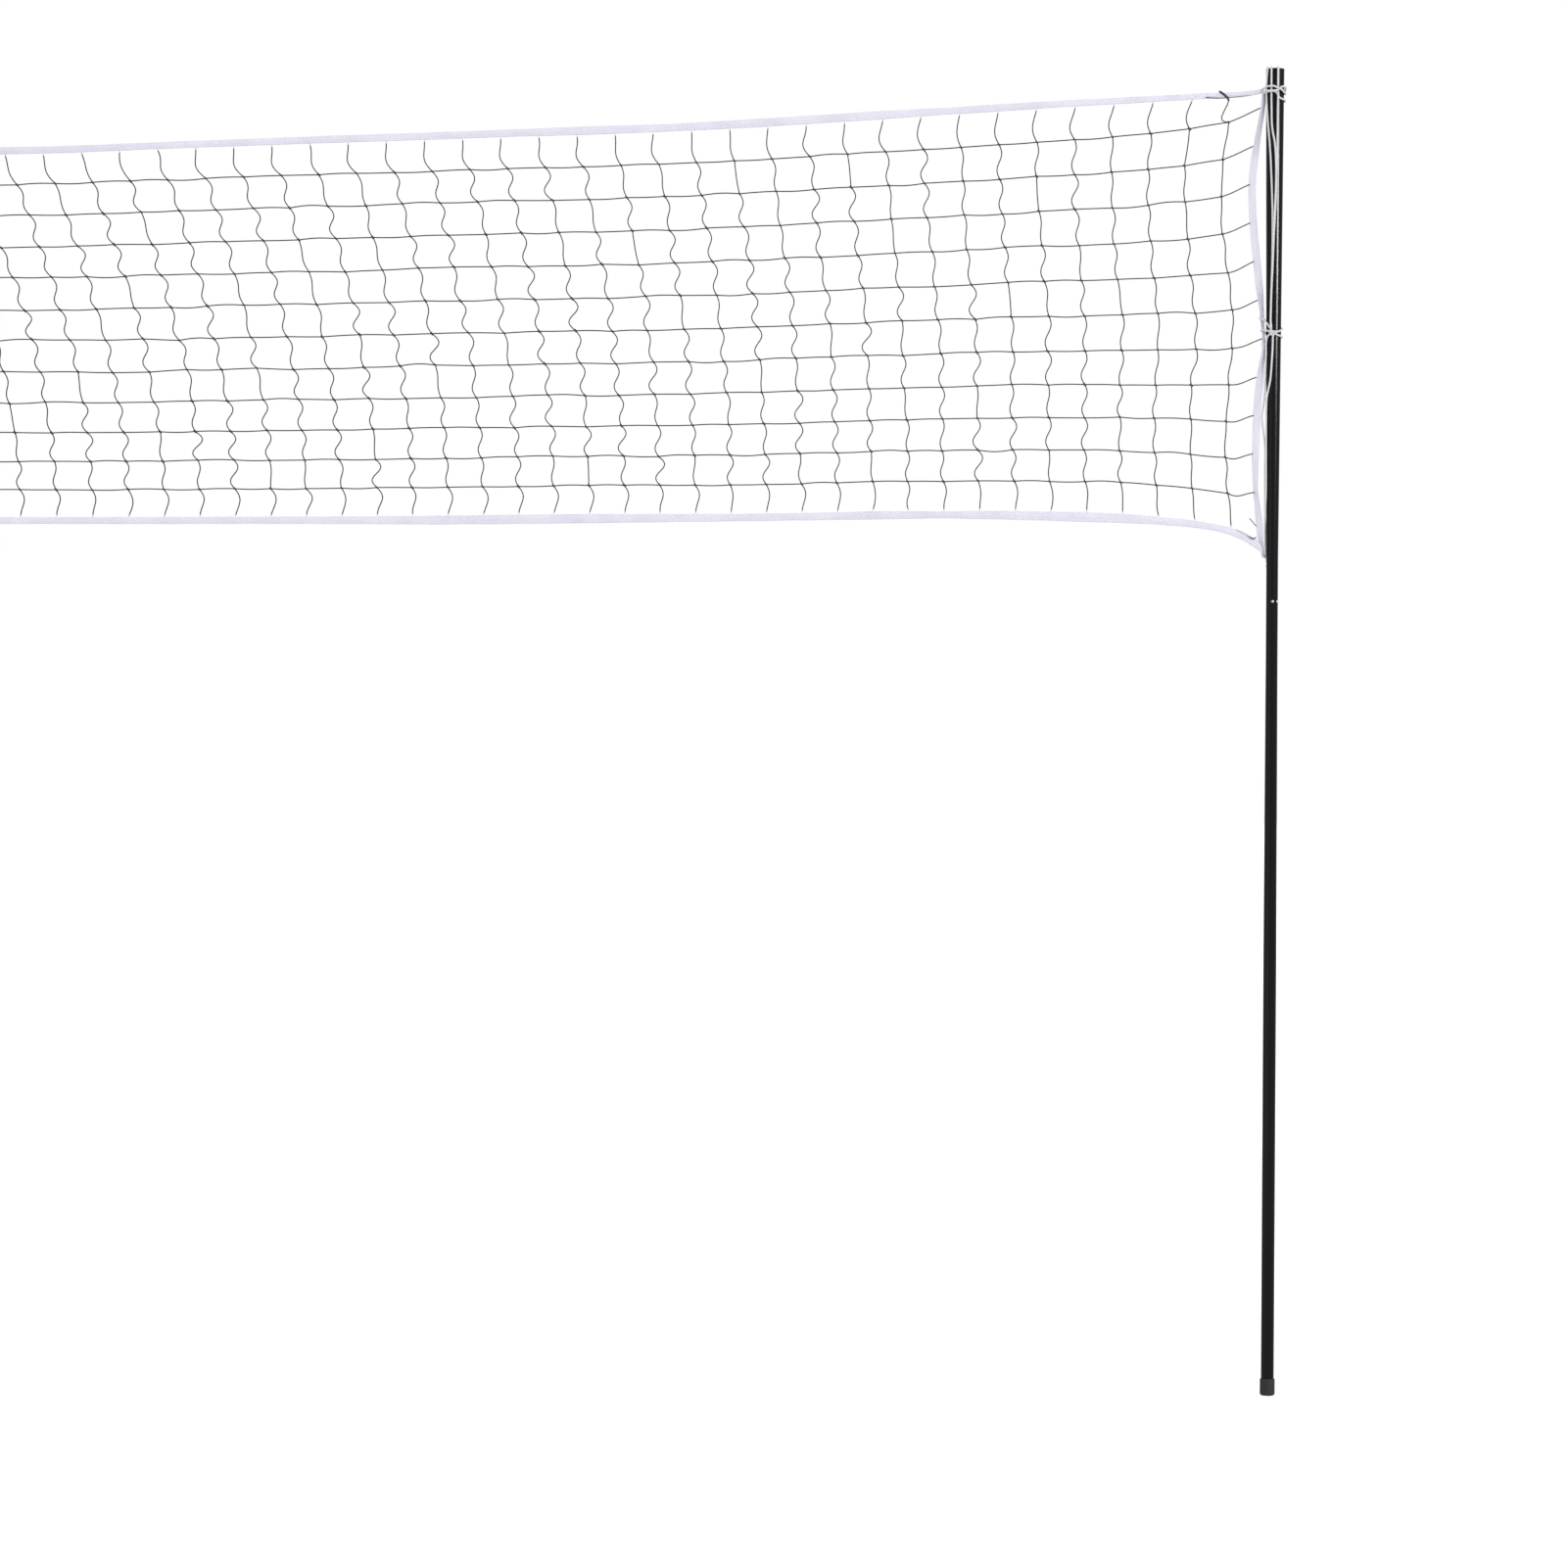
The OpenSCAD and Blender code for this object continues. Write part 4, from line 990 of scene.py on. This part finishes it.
rubber = add(
    tree, "ShaderNodeBsdfPrincipled",
    {
        "Base Color": rubber_grey.outputs["Result"], "Roughness": 0.72,
        "Specular IOR Level": 0.3, "Normal": relief.outputs[0],
    },
)
add(tree, "ShaderNodeOutputMaterial", {"Surface": rubber.outputs[0]})

node_finishes = {
    "upper_tube": powder_coat, "middle_tube": powder_coat, "lower_tube": powder_coat,
    "upper_spigot": zinc_plate, "lower_spigot": zinc_plate, "upper_rivets": rivet_metal,
    "lower_rivets": rivet_metal, "foot_cap": cap_rubber,
}
for side_name in sides_of_net:
    for name, finish in node_finishes.items():
        for material_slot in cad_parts[f"{side_name}_{name}"].material_slots:
            material_slot.material = finish

# ---- Floor, world and lights ----
# A plain white floor that keeps the object's faint shadow, a white surround that gives most of
# the light, and three soft lamps.
floor_half = 90
floor_mesh = bpy.data.meshes.new("floor")
floor_corners = np.array([(-1, -1, 0), (1, -1, 0), (1, 1, 0), (-1, 1, 0)]) * floor_half
floor_mesh.from_pydata(floor_corners.tolist(), [], [(0, 1, 2, 3)])
floor = bpy.data.objects.new("floor", floor_mesh)
bpy.context.scene.collection.objects.link(floor)


def seen(tree):
    """1 for camera, glossy and transmission rays, and 0 for the rays that light a surface."""
    ray = add(tree, "ShaderNodeLightPath").outputs
    either = add(
        tree, "ShaderNodeMath", {0: ray["Is Camera Ray"], 1: ray["Is Glossy Ray"]},
        operation="MAXIMUM",
    )
    return add(
        tree, "ShaderNodeMath", {0: either.outputs[0], 1: ray["Is Transmission Ray"]},
        operation="MAXIMUM",
    ).outputs[0]


# The floor glows only where it is seen, so that it is as white as the surround round the shadow
floor_white, tree = finish_named("matt_white_floor")
glow_share = add(tree, "ShaderNodeMath", {0: seen(tree), 1: 0.55}, operation="MULTIPLY")
glow = add(tree, "ShaderNodeEmission", {"Strength": glow_share.outputs[0]})
matt = add(tree, "ShaderNodeBsdfDiffuse", {"Color": (0.8, 0.8, 0.8, 1)})
both = add(tree, "ShaderNodeAddShader", {0: matt.outputs[0], 1: glow.outputs[0]})
add(tree, "ShaderNodeOutputMaterial", {"Surface": both.outputs[0]})
floor_mesh.materials.append(floor_white)

world = bpy.data.worlds.new("white_surround")
bpy.context.scene.world = world
world.use_nodes = True
tree = world.node_tree
tree.nodes.clear()
ambient = add(tree, "ShaderNodeBackground", {"Color": (1, 1, 1, 1), "Strength": 1.02})
surround = add(tree, "ShaderNodeBackground", {"Color": (1, 1, 1, 1), "Strength": 1.0})
either = add(
    tree, "ShaderNodeMixShader", {0: seen(tree), 1: ambient.outputs[0], 2: surround.outputs[0]}
)
add(tree, "ShaderNodeOutputWorld", {"Surface": either.outputs[0]})


def soft_light(name, place, aim, width, height, power, mirrored):
    """A rectangular lamp at a place, turned to a point, both in metres. It is either mirrored in
    glossy surfaces and lights nothing, or lights surfaces and isn't mirrored."""
    lamp = bpy.data.lights.new(name, "AREA")
    lamp.shape = "RECTANGLE"
    lamp.size, lamp.size_y, lamp.energy = width, height, power
    made = bpy.data.objects.new(name, lamp)
    made.location = place
    towards = Vector(aim) - Vector(place)
    made.rotation_euler = towards.to_track_quat("-Z", "Y").to_euler()
    made.visible_glossy, made.visible_diffuse = mirrored, not mirrored
    made.visible_camera = False
    bpy.context.scene.collection.objects.link(made)


# A panel right of the camera draws a line of light down the upper pole, a broad dim one at the
# left makes that side of the pole greyer, and a third fills from the front
soft_light("right_panel", (4.535, -1.76, 1.84), (2.76, 0, 1.84), 0.8, 0.36, 185, True)
soft_light("left_panel", (0.6, -1.6, 0.9), (2.76, 0, 0.9), 1.6, 2.6, 22, True)
soft_light("front_panel", (3.6, -5.2, 2.0), (1.8, 0, 1.3), 4.5, 2.0, 58, False)
